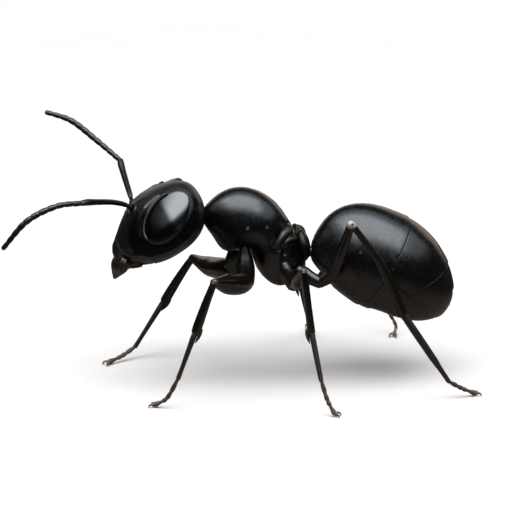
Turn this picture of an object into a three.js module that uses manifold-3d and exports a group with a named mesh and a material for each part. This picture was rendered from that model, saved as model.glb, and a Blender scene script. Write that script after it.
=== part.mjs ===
// A large carpenter ant worker, standing on six feet: a still model in life size.
// Millimetres, +Z up. The head points to -X, the tail to +X, and the ant's left side is -Y.
// Every plate, eye, jaw and limb segment is a closed mesh of its own, and a thin gap parts
// neighbours. Limbs are a little stouter than life, so that no solid is under 0.5 mm thick.
import * as THREE from "three";
import { mergeVertices } from "three/addons/utils/BufferGeometryUtils.js";
import Module from "manifold-3d";

const wasm = await Module();
wasm.setup();

const GAP = 0.03; // between neighbouring solids
const LIMB = 0.26; // least radius of a limb or feeler
const SOLE = 0.19; // height of a foot's centre line above the floor, less than LIMB

// Trunk forms. The axis runs from nose to tail, `pitch` degrees down to the tail, through
// (x, z) in the mid plane. Each list holds evenly spaced values from nose to tail: how far
// the form stands above, below and beside its axis, before the ends are rounded off.
const HEAD = {
  x: -3.7,
  z: 6.16,
  pitch: -42,
  length: 3.86,
  top: [0.74, 0.85, 1.01, 1.1, 1.09, 1.04, 1.06],
  bottom: [1.18, 1.26, 1.37, 1.44, 1.56, 1.69, 1.77],
  side: [0.95, 1.14, 1.34, 1.5, 1.61, 1.68, 1.66],
};
const THORAX = {
  x: -0.15,
  z: 5.33,
  pitch: 33,
  length: 4.36,
  top: [2.27, 2.02, 1.84, 1.68, 1.46, 1.27, 1.1],
  bottom: [0.63, 0.71, 0.83, 0.33, 0.78, 1.15, 1.5],
  side: [1.0, 1.1, 1.14, 1.03, 0.92, 0.87, 0.84],
};
const GASTER = {
  x: 4.77,
  z: 4.29,
  pitch: 38,
  length: 5.74,
  top: [2.02, 1.95, 1.92, 1.95, 1.95, 1.87, 1.8],
  bottom: [3.05, 2.16, 1.94, 1.79, 1.56, 1.57, 1.58],
  side: [1.36, 1.6, 1.74, 1.78, 1.74, 1.66, 1.52],
};
const PETIOLE = {
  x: 1.76,
  z: 5.14,
  pitch: -98,
  length: 1.2,
  top: [0.23, 0.25, 0.26],
  bottom: [0.27, 0.29, 0.26],
  side: [0.46, 0.52, 0.4],
};
const JAWS = {
  x: -4.94,
  z: 4.62,
  pitch: -66,
  length: 1.2,
  top: [0.36, 0.34, 0.34],
  bottom: [0.26, 0.3, 0.3],
  side: [0.4, 0.66, 0.86],
};
const MOUTH = {
  x: -4.42,
  z: 4.76,
  pitch: -26,
  length: 1.2,
  top: [0.3, 0.3, 0.3],
  bottom: [0.2, 0.24, 0.24],
  side: [0.34, 0.42, 0.46],
};

// Where the plates are parted, from -1 at the nose end to 1 at the tail end of the form, and
// how many degrees the cut leans: positive leans its top edge to the tail.
const PRONOTUM_CUT = { along: -0.16, lean: -24 };
const PROPODEUM_CUT = { along: 0.215, lean: 18 };
const GASTER_CUTS = [
  { along: -0.066, lean: -6 },
  { along: 0.38, lean: 24 },
  { along: 0.72, lean: 28 },
];

// Eyes: a low dome on each side of the head. `along`, `up` and `out` place its centre in the
// head's frame; its length is turned `roll` degrees off the head's axis, and its outer face
// `tilt` degrees up and `turn` degrees to the back.
const EYE = {
  along: 0.635,
  up: 0.15,
  out: 1.22,
  length: 2.13,
  height: 1.3,
  bulge: 0.26,
  roll: -13,
  tilt: 35,
  turn: 3.5,
};

// Feelers: places that one side's scape passes through, then its flagellum's.
const FEELERS = {
  left: {
    scape: [
      [-4.56, -0.4, 6.8],
      [-4.79, -0.75, 7.12],
      [-5.31, -1.3, 7.38],
      [-6.14, -2.15, 7.64],
      [-6.45, -2.4, 7.67],
    ],
    flagellum: [
      [-6.45, -2.4, 7.67],
      [-7.37, -2.72, 7.65],
      [-8.42, -2.8, 7.09],
      [-9.27, -2.6, 6.06],
    ],
  },
  right: {
    scape: [
      [-4.48, 0.4, 6.8],
      [-4.54, 0.9, 7.05],
      [-4.71, 2.1, 7.62],
      [-4.76, 2.5, 7.87],
    ],
    flagellum: [
      [-4.76, 2.5, 7.87],
      [-5.62, 3.1, 8.53],
      [-6.49, 3.6, 9.15],
      [-7.41, 3.95, 9.42],
    ],
  },
};

// Legs: root, end of coxa, knee, end of tibia, end of basitarsus, tip of toes.
const LEGS = {
  left_front: [
    [-0.5, -0.62, 5.36],
    [-0.49, -0.86, 4.02],
    [-1.82, -3.0, 4.69],
    [-2.48, -3.12, 2.94],
    [-3.12, -3.1, 1.21],
    [-3.92, -2.83, SOLE],
  ],
  right_front: [
    [-0.66, 0.62, 5.3],
    [-0.91, 0.79, 4.09],
    [-2.07, 3.2, 3.85],
    [-3.11, 3.25, 2.19],
    [-4.24, 3.1, 0.48],
    [-5.26, 2.36, SOLE],
  ],
  left_middle: [
    [0.95, -0.55, 4.6],
    [1.25, -0.8, 3.8],
    [1.32, -3.6, 5.18],
    [1.61, -3.55, 2.93],
    [1.89, -4.15, 1.33],
    [2.35, -4.5, SOLE],
  ],
  right_middle: [
    [0.95, 0.6, 4.6],
    [1.27, 1.0, 3.81],
    [1.86, 3.7, 4.82],
    [2.16, 4.3, 2.3],
    [2.59, 4.95, 0.6],
    [2.72, 6.15, SOLE],
  ],
  left_hind: [
    [1.5, -0.52, 4.34],
    [2.25, -0.9, 3.95],
    [3.13, -2.8, 6.67],
    [4.98, -2.85, 3.27],
    [6.7, -2.95, 0.7],
    [7.71, -2.74, SOLE],
  ],
  right_hind: [
    [1.35, 0.5, 3.98],
    [2.25, 0.8, 3.5],
    [4.15, 3.3, 5.3],
    [6.25, 6.1, 3.4],
    [5.6, 5.2, 1.0],
    [5.87, 4.75, SOLE],
  ],
};

// Places that a bent femur passes through between the coxa and the knee.
const FEMUR_BENDS = {
  right_front: [[-1.45, 2.0, 3.84]],
  left_hind: [
    [2.62, -1.25, 4.32],
    [2.82, -1.9, 5.2],
  ],
  right_hind: [[2.75, 1.35, 3.72]],
};

const SKINS = {
  shell: { color: 0x0b0a0a, roughness: 0.2, metalness: 0 },
  eye: { color: 0x100e0d, roughness: 0.25, metalness: 0 },
  limb: { color: 0x17120e, roughness: 0.35, metalness: 0 },
  foot: { color: 0x4a2c1a, roughness: 0.5, metalness: 0 },
};

const ant = new THREE.Group();
const rad = THREE.MathUtils.degToRad;

function addPiece(name, solid, skin) {
  const { vertProperties, triVerts, numProp, numVert } = solid.getMesh();
  const points = new Float32Array(numVert * 3);
  for (let i = 0; i < numVert; i++) {
    points.set(vertProperties.subarray(i * numProp, i * numProp + 3), i * 3);
  }
  const geometry = new THREE.BufferGeometry();
  geometry.setAttribute("position", new THREE.BufferAttribute(points, 3));
  geometry.setIndex(new THREE.BufferAttribute(triVerts, 1));
  geometry.computeVertexNormals();
  const mesh = new THREE.Mesh(geometry, new THREE.MeshStandardMaterial(SKINS[skin]));
  mesh.name = name;
  ant.add(mesh);
}

// A closed geometry, turned and moved by a matrix, as a solid that can be joined and cut.
function solidOf(geometry, matrix) {
  const bare = geometry.clone();
  bare.deleteAttribute("normal");
  bare.deleteAttribute("uv");
  bare.applyMatrix4(matrix);
  const merged = mergeVertices(bare, 1e-5);
  const triVerts = new Uint32Array(merged.index.array);
  const vertProperties = merged.attributes.position.array;
  return new wasm.Manifold(new wasm.Mesh({ numProp: 3, vertProperties, triVerts }));
}

// One solid less others, and of what the cuts leave only the largest body.
function less(solid, others) {
  const bodies = others.reduce((left, other) => left.subtract(other), solid).decompose();
  return bodies.reduce((best, body) => (body.volume() > best.volume() ? body : best));
}

// A smooth curve through evenly spaced values, read at x from -1 (first) to 1 (last).
function blend(values, x) {
  const last = values.length - 1;
  const t = ((x + 1) / 2) * last;
  const i = Math.min(Math.floor(t), last - 1);
  const f = t - i;
  const before = i > 0 ? values[i - 1] : 2 * values[0] - values[1];
  const after = i + 2 <= last ? values[i + 2] : 2 * values[last] - values[last - 1];
  const [a, b] = [values[i], values[i + 1]];
  const slope = b - before;
  const bend = 2 * before - 5 * a + 4 * b - after;
  return a + 0.5 * f * (slope + f * (bend + f * (3 * a - before - 3 * b + after)));
}

// The frame of a trunk form: its axis along local X, pitched down to the tail.
function trunkPlace({ x, z, pitch }) {
  const place = new THREE.Matrix4().makeRotationY(rad(pitch));
  return place.setPosition(x, 0, z);
}

// A trunk form as a solid: at x from -1 to 1 along its axis the section is an ellipse that
// spans the top, bottom and side lists, scaled by sqrt(1 - x * x) to round the ends.
function trunkSolid(form, { around = 28, rings = 20, grow = 0 } = {}) {
  const sphere = new THREE.SphereGeometry(1, around, rings);
  sphere.rotateZ(Math.PI / 2); // poles to -X and +X
  const p = sphere.attributes.position;
  for (let i = 0; i < p.count; i++) {
    const x = THREE.MathUtils.clamp(p.getX(i), -1, 1);
    const round = Math.sqrt(1 - x * x);
    const above = blend(form.top, x);
    const below = blend(form.bottom, x);
    const tall = (above + below) / 2 + grow;
    const rise = ((above - below) / 2) * round;
    const wide = blend(form.side, x) + grow;
    p.setXYZ(i, x * (form.length / 2 + grow), p.getY(i) * wide, p.getZ(i) * tall + rise);
  }
  return solidOf(sphere, trunkPlace(form));
}

// A flat cut of one gap's width, square to a form's axis but for its lean.
function cutAcross(form, { along, lean }) {
  const plate = new THREE.BoxGeometry(GAP, 12, 12);
  plate.rotateY(rad(lean));
  plate.translate((along * form.length) / 2, 0, 0);
  return solidOf(plate, trunkPlace(form));
}

// The bodies that cuts leave of a form, from nose to tail.
function plates(solid, form, cuts) {
  const parted = cuts.reduce((left, cut) => left.subtract(cutAcross(form, cut)), solid);
  const nose = (body) => body.boundingBox().min[0];
  return parted.decompose().sort((a, b) => nose(a) - nose(b));
}

// A limb through two or more places, with round ends: radii evenly spaced from root to tip.
function limb(places, radii, { around = 8, rings = 6, grow = 0 } = {}) {
  const way = new THREE.CatmullRomCurve3(places.map((place) => new THREE.Vector3(...place)));
  const reach = Math.min(radii[0], radii.at(-1)) * 0.5 + grow; // past each end of the curve
  const half = way.getLength() / 2;
  const frames = way.computeFrenetFrames(rings, false);
  const sphere = new THREE.SphereGeometry(1, around, rings);
  const p = sphere.attributes.position;
  const spot = new THREE.Vector3();
  for (let i = 0; i < p.count; i++) {
    const ring = Math.floor(i / (around + 1));
    const y = -Math.cos((Math.PI * ring) / rings); // -1 at the root, 1 at the tip
    const full = Math.sqrt(Math.max(1 - Math.pow(Math.abs(y), 9), 0));
    const size = ring % rings === 0 ? 0 : (blend(radii, y) + grow) * full;
    const turn = (2 * Math.PI * (i % (around + 1))) / around;
    const run = y * (half + reach);
    const t = THREE.MathUtils.clamp((run + half) / (2 * half), 0, 1);
    way.getPointAt(t, spot);
    spot.addScaledVector(way.getTangentAt(t), run - THREE.MathUtils.clamp(run, -half, half));
    spot.addScaledVector(frames.normals[ring], Math.cos(turn) * size);
    spot.addScaledVector(frames.binormals[ring], -Math.sin(turn) * size);
    p.setXYZ(i, spot.x, spot.y, spot.z);
  }
  return solidOf(sphere, new THREE.Matrix4());
}

// ---------------------------------------------------------------- head

const makeHead = (grow) => trunkSolid(HEAD, { around: 20, rings: 16, grow });
const makeJaws = (grow) => trunkSolid(JAWS, { around: 12, rings: 8, grow });

// An eye; `lift` moves it out along its own middle, to open its socket in the head.
function makeEye(side, grow, lift = 0) {
  const dome = new THREE.SphereGeometry(1, 14, 10);
  dome.rotateX(Math.PI / 2); // poles inward and outward
  dome.scale(EYE.length / 2 + grow, EYE.bulge + grow, EYE.height / 2 + grow);
  dome.translate(0, side * lift, 0);
  dome.rotateY(rad(EYE.roll));
  dome.rotateZ(rad(-side * EYE.turn));
  dome.rotateX(rad(side * EYE.tilt));
  dome.translate(EYE.along, side * EYE.out, EYE.up);
  return solidOf(dome, trunkPlace(HEAD));
}

const SOCKET_LIFT = 0.3; // how far the opening of an eye's socket reaches out
const sockets = [-1, 1].flatMap((side) => [makeEye(side, GAP), makeEye(side, GAP, SOCKET_LIFT)]);
addPiece("head", less(makeHead(0), sockets), "shell");
addPiece("eye_left", makeEye(-1, 0), "eye");
addPiece("eye_right", makeEye(1, 0), "eye");

const midline = new THREE.BoxGeometry(30, GAP, 30);
const jawPair = less(makeJaws(0), [makeHead(GAP)])
  .subtract(solidOf(midline, new THREE.Matrix4()))
  .decompose()
  .sort((a, b) => a.boundingBox().min[1] - b.boundingBox().min[1]);
addPiece("mandible_left", jawPair[0], "limb");
addPiece("mandible_right", jawPair[1], "limb");
const mouth = less(trunkSolid(MOUTH, { around: 12, rings: 8 }), [makeHead(GAP), makeJaws(GAP)]);
addPiece("mouthparts", mouth, "limb");

// ---------------------------------------------------------------- feelers

const FEELER_RADII = [LIMB, LIMB, LIMB];
for (const [side, { scape, flagellum }] of Object.entries(FEELERS)) {
  const lower = limb(scape, FEELER_RADII, { rings: 9 });
  const lowerGrown = limb(scape, FEELER_RADII, { rings: 9, grow: GAP });
  const upper = limb(flagellum, FEELER_RADII, { rings: 10 });
  addPiece(`scape_${side}`, less(lower, [makeHead(GAP)]), "limb");
  addPiece(`flagellum_${side}`, less(upper, [lowerGrown]), "limb");
}

// ---------------------------------------------------------------- thorax, waist, gaster

const makeThorax = (grow) => trunkSolid(THORAX, { around: 20, rings: 16, grow });
const makeGaster = (grow) => trunkSolid(GASTER, { around: 22, rings: 18, grow });

const thorax = less(makeThorax(0), [makeHead(GAP)]);
const thoraxPlates = plates(thorax, THORAX, [PRONOTUM_CUT, PROPODEUM_CUT]);
["pronotum", "mesothorax", "propodeum"].forEach((name, i) => {
  addPiece(name, thoraxPlates[i], "shell");
});

const scale = trunkSolid(PETIOLE, { around: 12, rings: 10 });
const stalk = limb([[1.5, 0, 4.86], [2.6, 0, 4.98]], [0.22, 0.24], { rings: 5 });
addPiece("petiole", less(scale.add(stalk), [makeThorax(GAP), makeGaster(GAP)]), "shell");

plates(makeGaster(0), GASTER, GASTER_CUTS).forEach((plate, i) => {
  addPiece(`gaster_plate_${i + 1}`, plate, "shell");
});

// ---------------------------------------------------------------- legs

const SEGMENTS = ["coxa", "femur", "tibia", "basitarsus", "toes"];
const RADII = {
  coxa: [0.34, 0.38, 0.34],
  femur: [0.27, 0.34, 0.36, 0.33, 0.27],
  tibia: [LIMB, LIMB, LIMB],
  basitarsus: [LIMB, LIMB, LIMB],
  toes: [LIMB, LIMB, LIMB],
};
const ground = new THREE.BoxGeometry(60, 60, 4).translate(0, 0, -2);
const settled = [makeThorax(GAP), solidOf(ground, new THREE.Matrix4())];

for (const [leg, joints] of Object.entries(LEGS)) {
  SEGMENTS.forEach((segment, i) => {
    const bends = segment === "femur" ? (FEMUR_BENDS[leg] ?? []) : [];
    const places = [joints[i], ...bends, joints[i + 1]];
    const solid = less(limb(places, RADII[segment]), settled);
    addPiece(`${segment}_${leg}`, solid, i > 2 ? "foot" : "limb");
    settled.push(limb(places, RADII[segment], { grow: GAP }));
  });
}

// The origin is the middle of the model's footprint box, on the floor.
const box = new THREE.Box3().setFromObject(ant);
const centre = box.getCenter(new THREE.Vector3());
ant.position.set(-centre.x, -centre.y, -box.min.z);

export default ant;
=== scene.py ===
"""A large black carpenter ant worker in life size, standing on six feet: its looks.

Shapes are worked out in millimetres in the frame of the ant's body: the head points to -X, the
tail to +X, the left side is -Y and +Z is up. They are moved by SHIFT and scaled to metres only
when they become meshes. The file is laid out as an add-on: sizes and colours are properties,
and each group of like pieces has an operator.
"""

import math
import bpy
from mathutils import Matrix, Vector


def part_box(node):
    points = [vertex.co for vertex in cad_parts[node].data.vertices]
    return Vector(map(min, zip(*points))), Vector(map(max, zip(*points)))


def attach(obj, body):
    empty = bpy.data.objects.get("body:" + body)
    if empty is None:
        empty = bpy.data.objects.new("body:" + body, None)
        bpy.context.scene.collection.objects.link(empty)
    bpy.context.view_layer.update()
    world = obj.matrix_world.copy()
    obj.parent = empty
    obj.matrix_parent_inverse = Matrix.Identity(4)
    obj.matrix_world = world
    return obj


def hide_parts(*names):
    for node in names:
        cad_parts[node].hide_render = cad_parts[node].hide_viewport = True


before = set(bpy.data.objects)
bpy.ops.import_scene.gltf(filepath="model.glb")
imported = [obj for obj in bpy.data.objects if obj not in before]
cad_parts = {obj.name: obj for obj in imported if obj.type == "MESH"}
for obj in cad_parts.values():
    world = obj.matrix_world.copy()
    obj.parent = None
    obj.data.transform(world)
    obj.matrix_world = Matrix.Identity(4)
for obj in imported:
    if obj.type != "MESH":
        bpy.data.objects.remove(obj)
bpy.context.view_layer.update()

from types import SimpleNamespace

import bpy
import numpy as np
from mathutils import Vector

bl_info = {
    "name": "Carpenter ant",
    "version": (1, 0, 0),
    "blender": (4, 5, 0),
    "location": "3D View > Sidebar > Ant",
    "description": "Builds the shell, eyes, limbs and bristles of a life-size carpenter ant",
    "category": "Object",
}

MM = 0.001
NEAR, FAR = -1, 1  # the ant's left side, at -Y, and its right side

# Trunk forms, as in the solids: an axis in the mid plane through (x, z), pitched down to the
# tail, and evenly spaced values from nose to tail of how far the form stands out from it.
HEAD = {
    "x": -3.7, "z": 6.16, "pitch": -42.0, "length": 3.86,
    "top": (0.74, 0.85, 1.01, 1.1, 1.09, 1.04, 1.06),
    "bottom": (1.18, 1.26, 1.37, 1.44, 1.56, 1.69, 1.77),
    "side": (0.95, 1.14, 1.34, 1.5, 1.61, 1.68, 1.66),
}
THORAX = {
    "x": -0.15, "z": 5.33, "pitch": 33.0, "length": 4.36,
    "top": (2.27, 2.02, 1.84, 1.68, 1.46, 1.27, 1.1),
    "bottom": (0.63, 0.71, 0.83, 0.33, 0.8, 1.26, 1.75),
    "side": (1.0, 1.1, 1.14, 1.03, 0.92, 0.87, 0.84),
}
GASTER = {
    "x": 4.77, "z": 4.29, "pitch": 38.0, "length": 5.74,
    "top": (2.02, 1.95, 1.92, 1.95, 1.95, 1.87, 1.8),
    "bottom": (3.05, 2.16, 1.94, 1.79, 1.56, 1.57, 1.58),
    "side": (1.36, 1.6, 1.74, 1.78, 1.74, 1.66, 1.52),
}
PETIOLE = {
    "x": 1.7, "z": 5.14, "pitch": -98.0, "length": 1.2,
    "top": (0.23, 0.25, 0.26),
    "bottom": (0.27, 0.29, 0.26),
    "side": (0.46, 0.52, 0.4),
}
JAWS = {
    "x": -4.94, "z": 4.62, "pitch": -66.0, "length": 1.2,
    "top": (0.36, 0.34, 0.34),
    "bottom": (0.26, 0.3, 0.3),
    "side": (0.4, 0.66, 0.86),
}
MOUTH = {
    "x": -4.42, "z": 4.76, "pitch": -26.0, "length": 1.2,
    "top": (0.3, 0.3, 0.3),
    "bottom": (0.2, 0.24, 0.24),
    "side": (0.34, 0.42, 0.46),
}

# Seams between plates: (place along the form from -1 to 1, degrees its top edge leans back).
PRONOTUM_SEAM = (-0.16, -24.0)
PROPODEUM_SEAM = (0.215, 18.0)
GASTER_SEAMS = ((-0.066, -6.0), (0.38, 24.0), (0.72, 28.0))

# The eye: a low dome in the head's frame, its length rolled off the head's axis and its outer
# face turned up and to the back.
EYE = {
    "along": 0.635, "up": 0.15, "out": 1.22,
    "length": 2.13, "height": 1.3, "bulge": 0.26,
    "roll": -13.0, "tilt": 35.0, "turn": 3.5,
}

FEELERS = {
    "left": {
        "scape": ((-4.56, -0.4, 6.8), (-4.79, -0.75, 7.05), (-5.31, -1.3, 7.31),
                  (-6.14, -2.15, 7.56), (-6.45, -2.4, 7.6)),
        "whip": ((-6.45, -2.4, 7.6), (-7.37, -2.72, 7.59), (-8.42, -2.8, 7.09),
                 (-9.27, -2.6, 6.06)),
    },
    "right": {
        "scape": ((-4.48, 0.4, 6.8), (-4.54, 0.9, 7.05), (-4.71, 2.1, 7.62),
                  (-4.76, 2.5, 7.87)),
        "whip": ((-4.76, 2.5, 7.87), (-5.62, 3.1, 8.53), (-6.49, 3.6, 9.15),
                 (-7.41, 3.95, 9.42)),
    },
}

# Legs: root, end of coxa, knee, end of tibia, end of basitarsus, toe tip.
TOE = 0.12  # height of the last toe's tip above the floor
LEGS = {
    "left_front": ((-0.5, -0.62, 5.36), (-0.49, -0.86, 4.02), (-1.82, -3.0, 4.69),
                   (-2.48, -3.12, 2.94), (-3.12, -3.1, 1.21), (-3.92, -2.73, TOE)),
    "right_front": ((-0.66, 0.62, 5.3), (-0.91, 0.79, 4.09), (-2.07, 3.2, 3.85),
                    (-3.11, 3.25, 2.19), (-4.24, 3.1, 0.48), (-5.26, 2.46, TOE)),
    "left_middle": ((0.95, -0.55, 4.6), (1.25, -0.8, 3.8), (1.32, -3.6, 5.18),
                    (1.61, -3.55, 2.93), (1.89, -4.15, 1.33), (2.35, -4.4, TOE)),
    "right_middle": ((0.95, 0.6, 4.6), (1.27, 1.0, 3.81), (1.86, 3.7, 4.82),
                     (2.16, 4.3, 2.3), (2.59, 4.95, 0.6), (2.72, 6.15, TOE)),
    "left_hind": ((1.5, -0.52, 4.34), (2.25, -0.9, 3.95), (3.13, -2.8, 6.67),
                  (4.98, -2.85, 3.27), (6.7, -2.95, 0.7), (7.71, -2.64, TOE)),
    "right_hind": ((1.35, 0.5, 3.98), (2.25, 0.8, 3.5), (4.15, 3.3, 5.3),
                   (6.25, 6.1, 3.4), (5.6, 5.2, 1.0), (5.87, 4.85, TOE)),
}
# Places that a bent part passes through between its two joints.
BENDS = {
    "left_front": {"toes": ((-3.51, -2.9, 0.42),)},
    "left_middle": {"toes": ((2.1, -4.3, 0.62),)},
    "left_hind": {"femur": ((2.62, -1.25, 4.32), (2.82, -1.9, 5.2)),
                  "tibia": ((4.18, -2.83, 5.16),), "toes": ((7.2, -2.8, 0.38),)},
    "right_front": {"femur": ((-1.45, 2.0, 3.84),), "toes": ((-4.75, 2.8, 0.23),)},
    "right_middle": {"tibia": ((2.14, 3.8, 4.57), (2.2, 4.0, 3.73))},
    "right_hind": {"femur": ((2.75, 1.35, 3.72),), "toes": ((5.93, 5.05, 0.42),)},
}

# Radii of leg parts, evenly spaced from root to tip. The femur starts with the trochanter.
COXA = {
    "front": (0.16, 0.24, 0.33, 0.38, 0.385, 0.36),
    "middle": (0.22, 0.28, 0.3, 0.28, 0.24, 0.2),
    "hind": (0.24, 0.29, 0.28, 0.26, 0.24, 0.22),
}
FEMUR = {
    "front": (0.33, 0.38, 0.4, 0.4, 0.395, 0.385, 0.37, 0.33, 0.28, 0.23, 0.19, 0.16),
    "middle": (0.14, 0.19, 0.16, 0.2, 0.24, 0.26, 0.25, 0.22, 0.19, 0.17, 0.15, 0.14),
    "hind": (0.19, 0.2, 0.2, 0.2, 0.205, 0.205, 0.2, 0.19, 0.175, 0.165, 0.155, 0.15),
}
TIBIA = {
    "front": (0.12, 0.135, 0.143, 0.15, 0.158, 0.166, 0.172, 0.176, 0.178, 0.17),
    "middle": (0.13, 0.15, 0.155, 0.15, 0.147, 0.147, 0.15, 0.154, 0.16, 0.16),
    "hind": (0.11, 0.115, 0.12, 0.13, 0.145, 0.16, 0.175, 0.19, 0.205, 0.205),
}
BASITARSUS = {
    "front": (0.105, 0.108, 0.1, 0.093, 0.086, 0.082, 0.088),
    "middle": (0.112, 0.115, 0.112, 0.108, 0.104, 0.1, 0.095),
    "hind": (0.125, 0.132, 0.132, 0.128, 0.12, 0.09, 0.084),
}
TOE_SHARES = (0.3, 0.22, 0.16, 0.32)
# The pit is brown, and has no shine: painted shade in the hollow.
KNOB_PIT = (0.02, -0.15, 0.04)  # a dark pit on the near hind knee, from the knee's middle


# ---- curves and fields


def blend(values, x):
    """A smooth curve through evenly spaced values, read at x from -1 to 1.

    Between two values it is the cubic whose slope at each is half the step between its
    neighbours; past the ends the list goes on by reflection.
    """
    values = np.asarray(values, float)
    last = len(values) - 1
    t = (np.asarray(x, float) + 1) / 2 * last
    i = np.clip(np.floor(t).astype(int), 0, last - 1)
    f = (t - i).reshape(t.shape + (1,) * (values.ndim - 1))
    first, end = 2 * values[0] - values[1], 2 * values[-1] - values[-2]
    padded = np.concatenate([[first], values, [end]])
    before, a, b, after = padded[i], padded[i + 1], padded[i + 2], padded[i + 3]
    bend = 2 * before - 5 * a + 4 * b - after
    return a + 0.5 * f * (b - before + f * (bend + f * (3 * a - before - 3 * b + after)))


def ramp(low, high, x):
    """0 below low, 1 above high and a smooth S between."""
    t = np.clip((x - low) / (high - low), 0, 1)
    return t * t * (3 - 2 * t)


def mound(distance, width):
    """A bell: 1 at no distance, falling to 1/e at one width."""
    return np.exp(-((distance / width) ** 2))


def quarter(x):
    """A quarter circle: 0 at 0, rising steeply at first, 1 from 1 on."""
    return np.sqrt(np.clip(1 - (1 - np.clip(x, 0, 1)) ** 2, 0, 1))


def unit(v):
    """Vectors of the same direction and length 1."""
    return v / np.maximum(np.linalg.norm(v, axis=-1, keepdims=True), 1e-12)


def distance_to(points, way):
    """Each point's distance to one place, or to a line through the places of a way."""
    way = np.asarray(way, float)
    if way.ndim == 1:
        return np.linalg.norm(points - way, axis=-1)
    best = np.full(points.shape[:-1], np.inf)
    for a, b in zip(way[:-1], way[1:]):
        t = np.clip((points - a) @ (b - a) / ((b - a) @ (b - a)), 0, 1)
        gap = np.linalg.norm(points - a - t[..., None] * (b - a), axis=-1)
        best = np.minimum(best, gap)
    return best


def relief(points, features):
    """The sum of bells round lines and places. A feature is a way or a place, the height and
    the width of its bell, and how far from the way the bell's middle lies."""
    return sum(height * mound(distance_to(points, way) - reach, width)
               for way, height, width, reach in features)


def to_left(points):
    """Factors that mirror points of the right half to the left."""
    return np.where(points[..., 1:2] > 0, (1, -1, 1), (1, 1, 1))


# ---- forms

NEAR_POLE = 0.9995  # x of the last normals before a form's ends
STEP = 1e-4  # step along x and the angle for normals


def place(form, local):
    """From a form's frame to the body's: turned by the pitch about Y, then moved."""
    local = np.asarray(local, float)
    c, s = math.cos(math.radians(form["pitch"])), math.sin(math.radians(form["pitch"]))
    x, y, z = local[..., 0], local[..., 1], local[..., 2]
    return np.stack([form["x"] + x * c + z * s, y, form["z"] - x * s + z * c], -1)


def turn(form, v):
    """A direction from a form's frame to the body's."""
    return place(form, v) - place(form, np.zeros(3))


def trunk(form, x, a):
    """The plain surface of a form, at x from -1 (nose) to 1 (tail) and a round its axis.

    The section at x is an ellipse that spans the top, bottom and side lists, scaled by the
    root of 1 - x squared. The angle a is 0 at the top and a quarter turn on the left side.
    """
    x, a = np.broadcast_arrays(np.asarray(x, float), np.asarray(a, float))
    s = np.sqrt(np.clip(1 - x * x, 0, 1))
    above, below = blend(form["top"], x), blend(form["bottom"], x)
    rise, tall = (above - below) / 2, (above + below) / 2
    wide = blend(form["side"], x)
    z = (rise + tall * np.cos(a)) * s
    return np.stack([x * form["length"] / 2, -wide * np.sin(a) * s, z], -1)


def trunk_normal(form, x, a):
    """Outward normals of a form's plain surface, from small steps along both parameters."""
    x = np.clip(x, -NEAR_POLE, NEAR_POLE)
    lengthwise = trunk(form, x + STEP, a) - trunk(form, x - STEP, a)
    around = trunk(form, x, a + STEP) - trunk(form, x, a - STEP)
    return unit(np.cross(around, lengthwise))


def angles(count):
    """Evenly spaced angles of a full turn."""
    return 2 * np.pi * np.arange(count) / count


def whole(form, rows, cols):
    """A form's plain surface from pole to pole: x, a, the points and their normals."""
    x = -np.cos(np.linspace(0, np.pi, rows))[:, None]
    x, a = np.broadcast_arrays(x, angles(cols))
    return x, a, trunk(form, x, a), trunk_normal(form, x, a)


def find_shift():
    """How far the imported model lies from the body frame, from the eyes' places in both."""
    corners = np.array([[list(c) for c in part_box(n)] for n in ("eye_left", "eye_right")])
    middle = (corners[:, 0].min(0) + corners[:, 1].max(0)) / 2 / MM
    return middle - place(HEAD, [EYE["along"], 0, EYE["up"]])


SHIFT = find_shift()


# ---- meshes
#
# A part is a dictionary: verts (n, 3) in mm, faces a list of (m, 3) and (m, 4) index arrays,
# marks (n, 3) with brownness and paleness from 0 to 1 and a third mark from -1 to 1, and for
# hairs uv (n, 2). On the shell a third mark above 0 makes it rougher, one below 0 takes its
# shine away, down to none at -1: painted shade where it should look dark.


def paint(shape, brown=0.0, pale=0.0, rough_and_shade=0.0):
    """Marks for a grid. Each is one number, one for each row or one for each place."""
    marks = np.zeros(shape)
    for i, value in enumerate((brown, pale, rough_and_shade)):
        value = np.asarray(value, float)
        marks[..., i] = value[:, None] if value.ndim == 1 else value
    return marks


def closed_grid(points, marks):
    """A part from a grid whose rows close round and whose first and last rows are poles."""
    rows, cols = points.shape[:2]

    def flat(grid):
        return np.vstack([grid[0, :1], grid[1:-1].reshape(-1, grid.shape[-1]), grid[-1, :1]])

    j = np.arange(cols)
    k = (j + 1) % cols
    i = np.arange(rows - 3)[:, None] * cols + 1
    quads = np.stack([i + j, i + k, i + cols + k, i + cols + j], -1).reshape(-1, 4)
    last = (rows - 2) * cols + 1
    start = np.stack([0 * j, 1 + k, 1 + j], -1)
    end = np.stack([last + 0 * j, last - cols + j, last - cols + k], -1)
    part = {"verts": flat(points), "faces": [quads, start, end], "marks": flat(marks)}
    return outward(part)


def outward(part):
    """The part with its faces turned outwards, judged by the sign of its volume."""
    v = part["verts"]
    volume = 0
    for f in part["faces"]:
        for k in range(1, f.shape[1] - 1):
            a, b, c = v[f[:, 0]], v[f[:, k]], v[f[:, k + 1]]
            volume += np.einsum("ij,ij->i", a, np.cross(b, c)).sum()
    if volume < 0:
        part["faces"] = [f[:, ::-1] for f in part["faces"]]
    return part


def join(parts):
    """Several parts as one."""
    starts = np.cumsum([0] + [len(p["verts"]) for p in parts[:-1]])
    faces = [f + s for p, s in zip(parts, starts) for f in p["faces"]]
    out = {"verts": np.vstack([p["verts"] for p in parts]), "faces": faces}
    for key in ("marks", "uv"):
        if key in parts[0]:
            out[key] = np.vstack([p[key] for p in parts])
    return out


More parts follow.
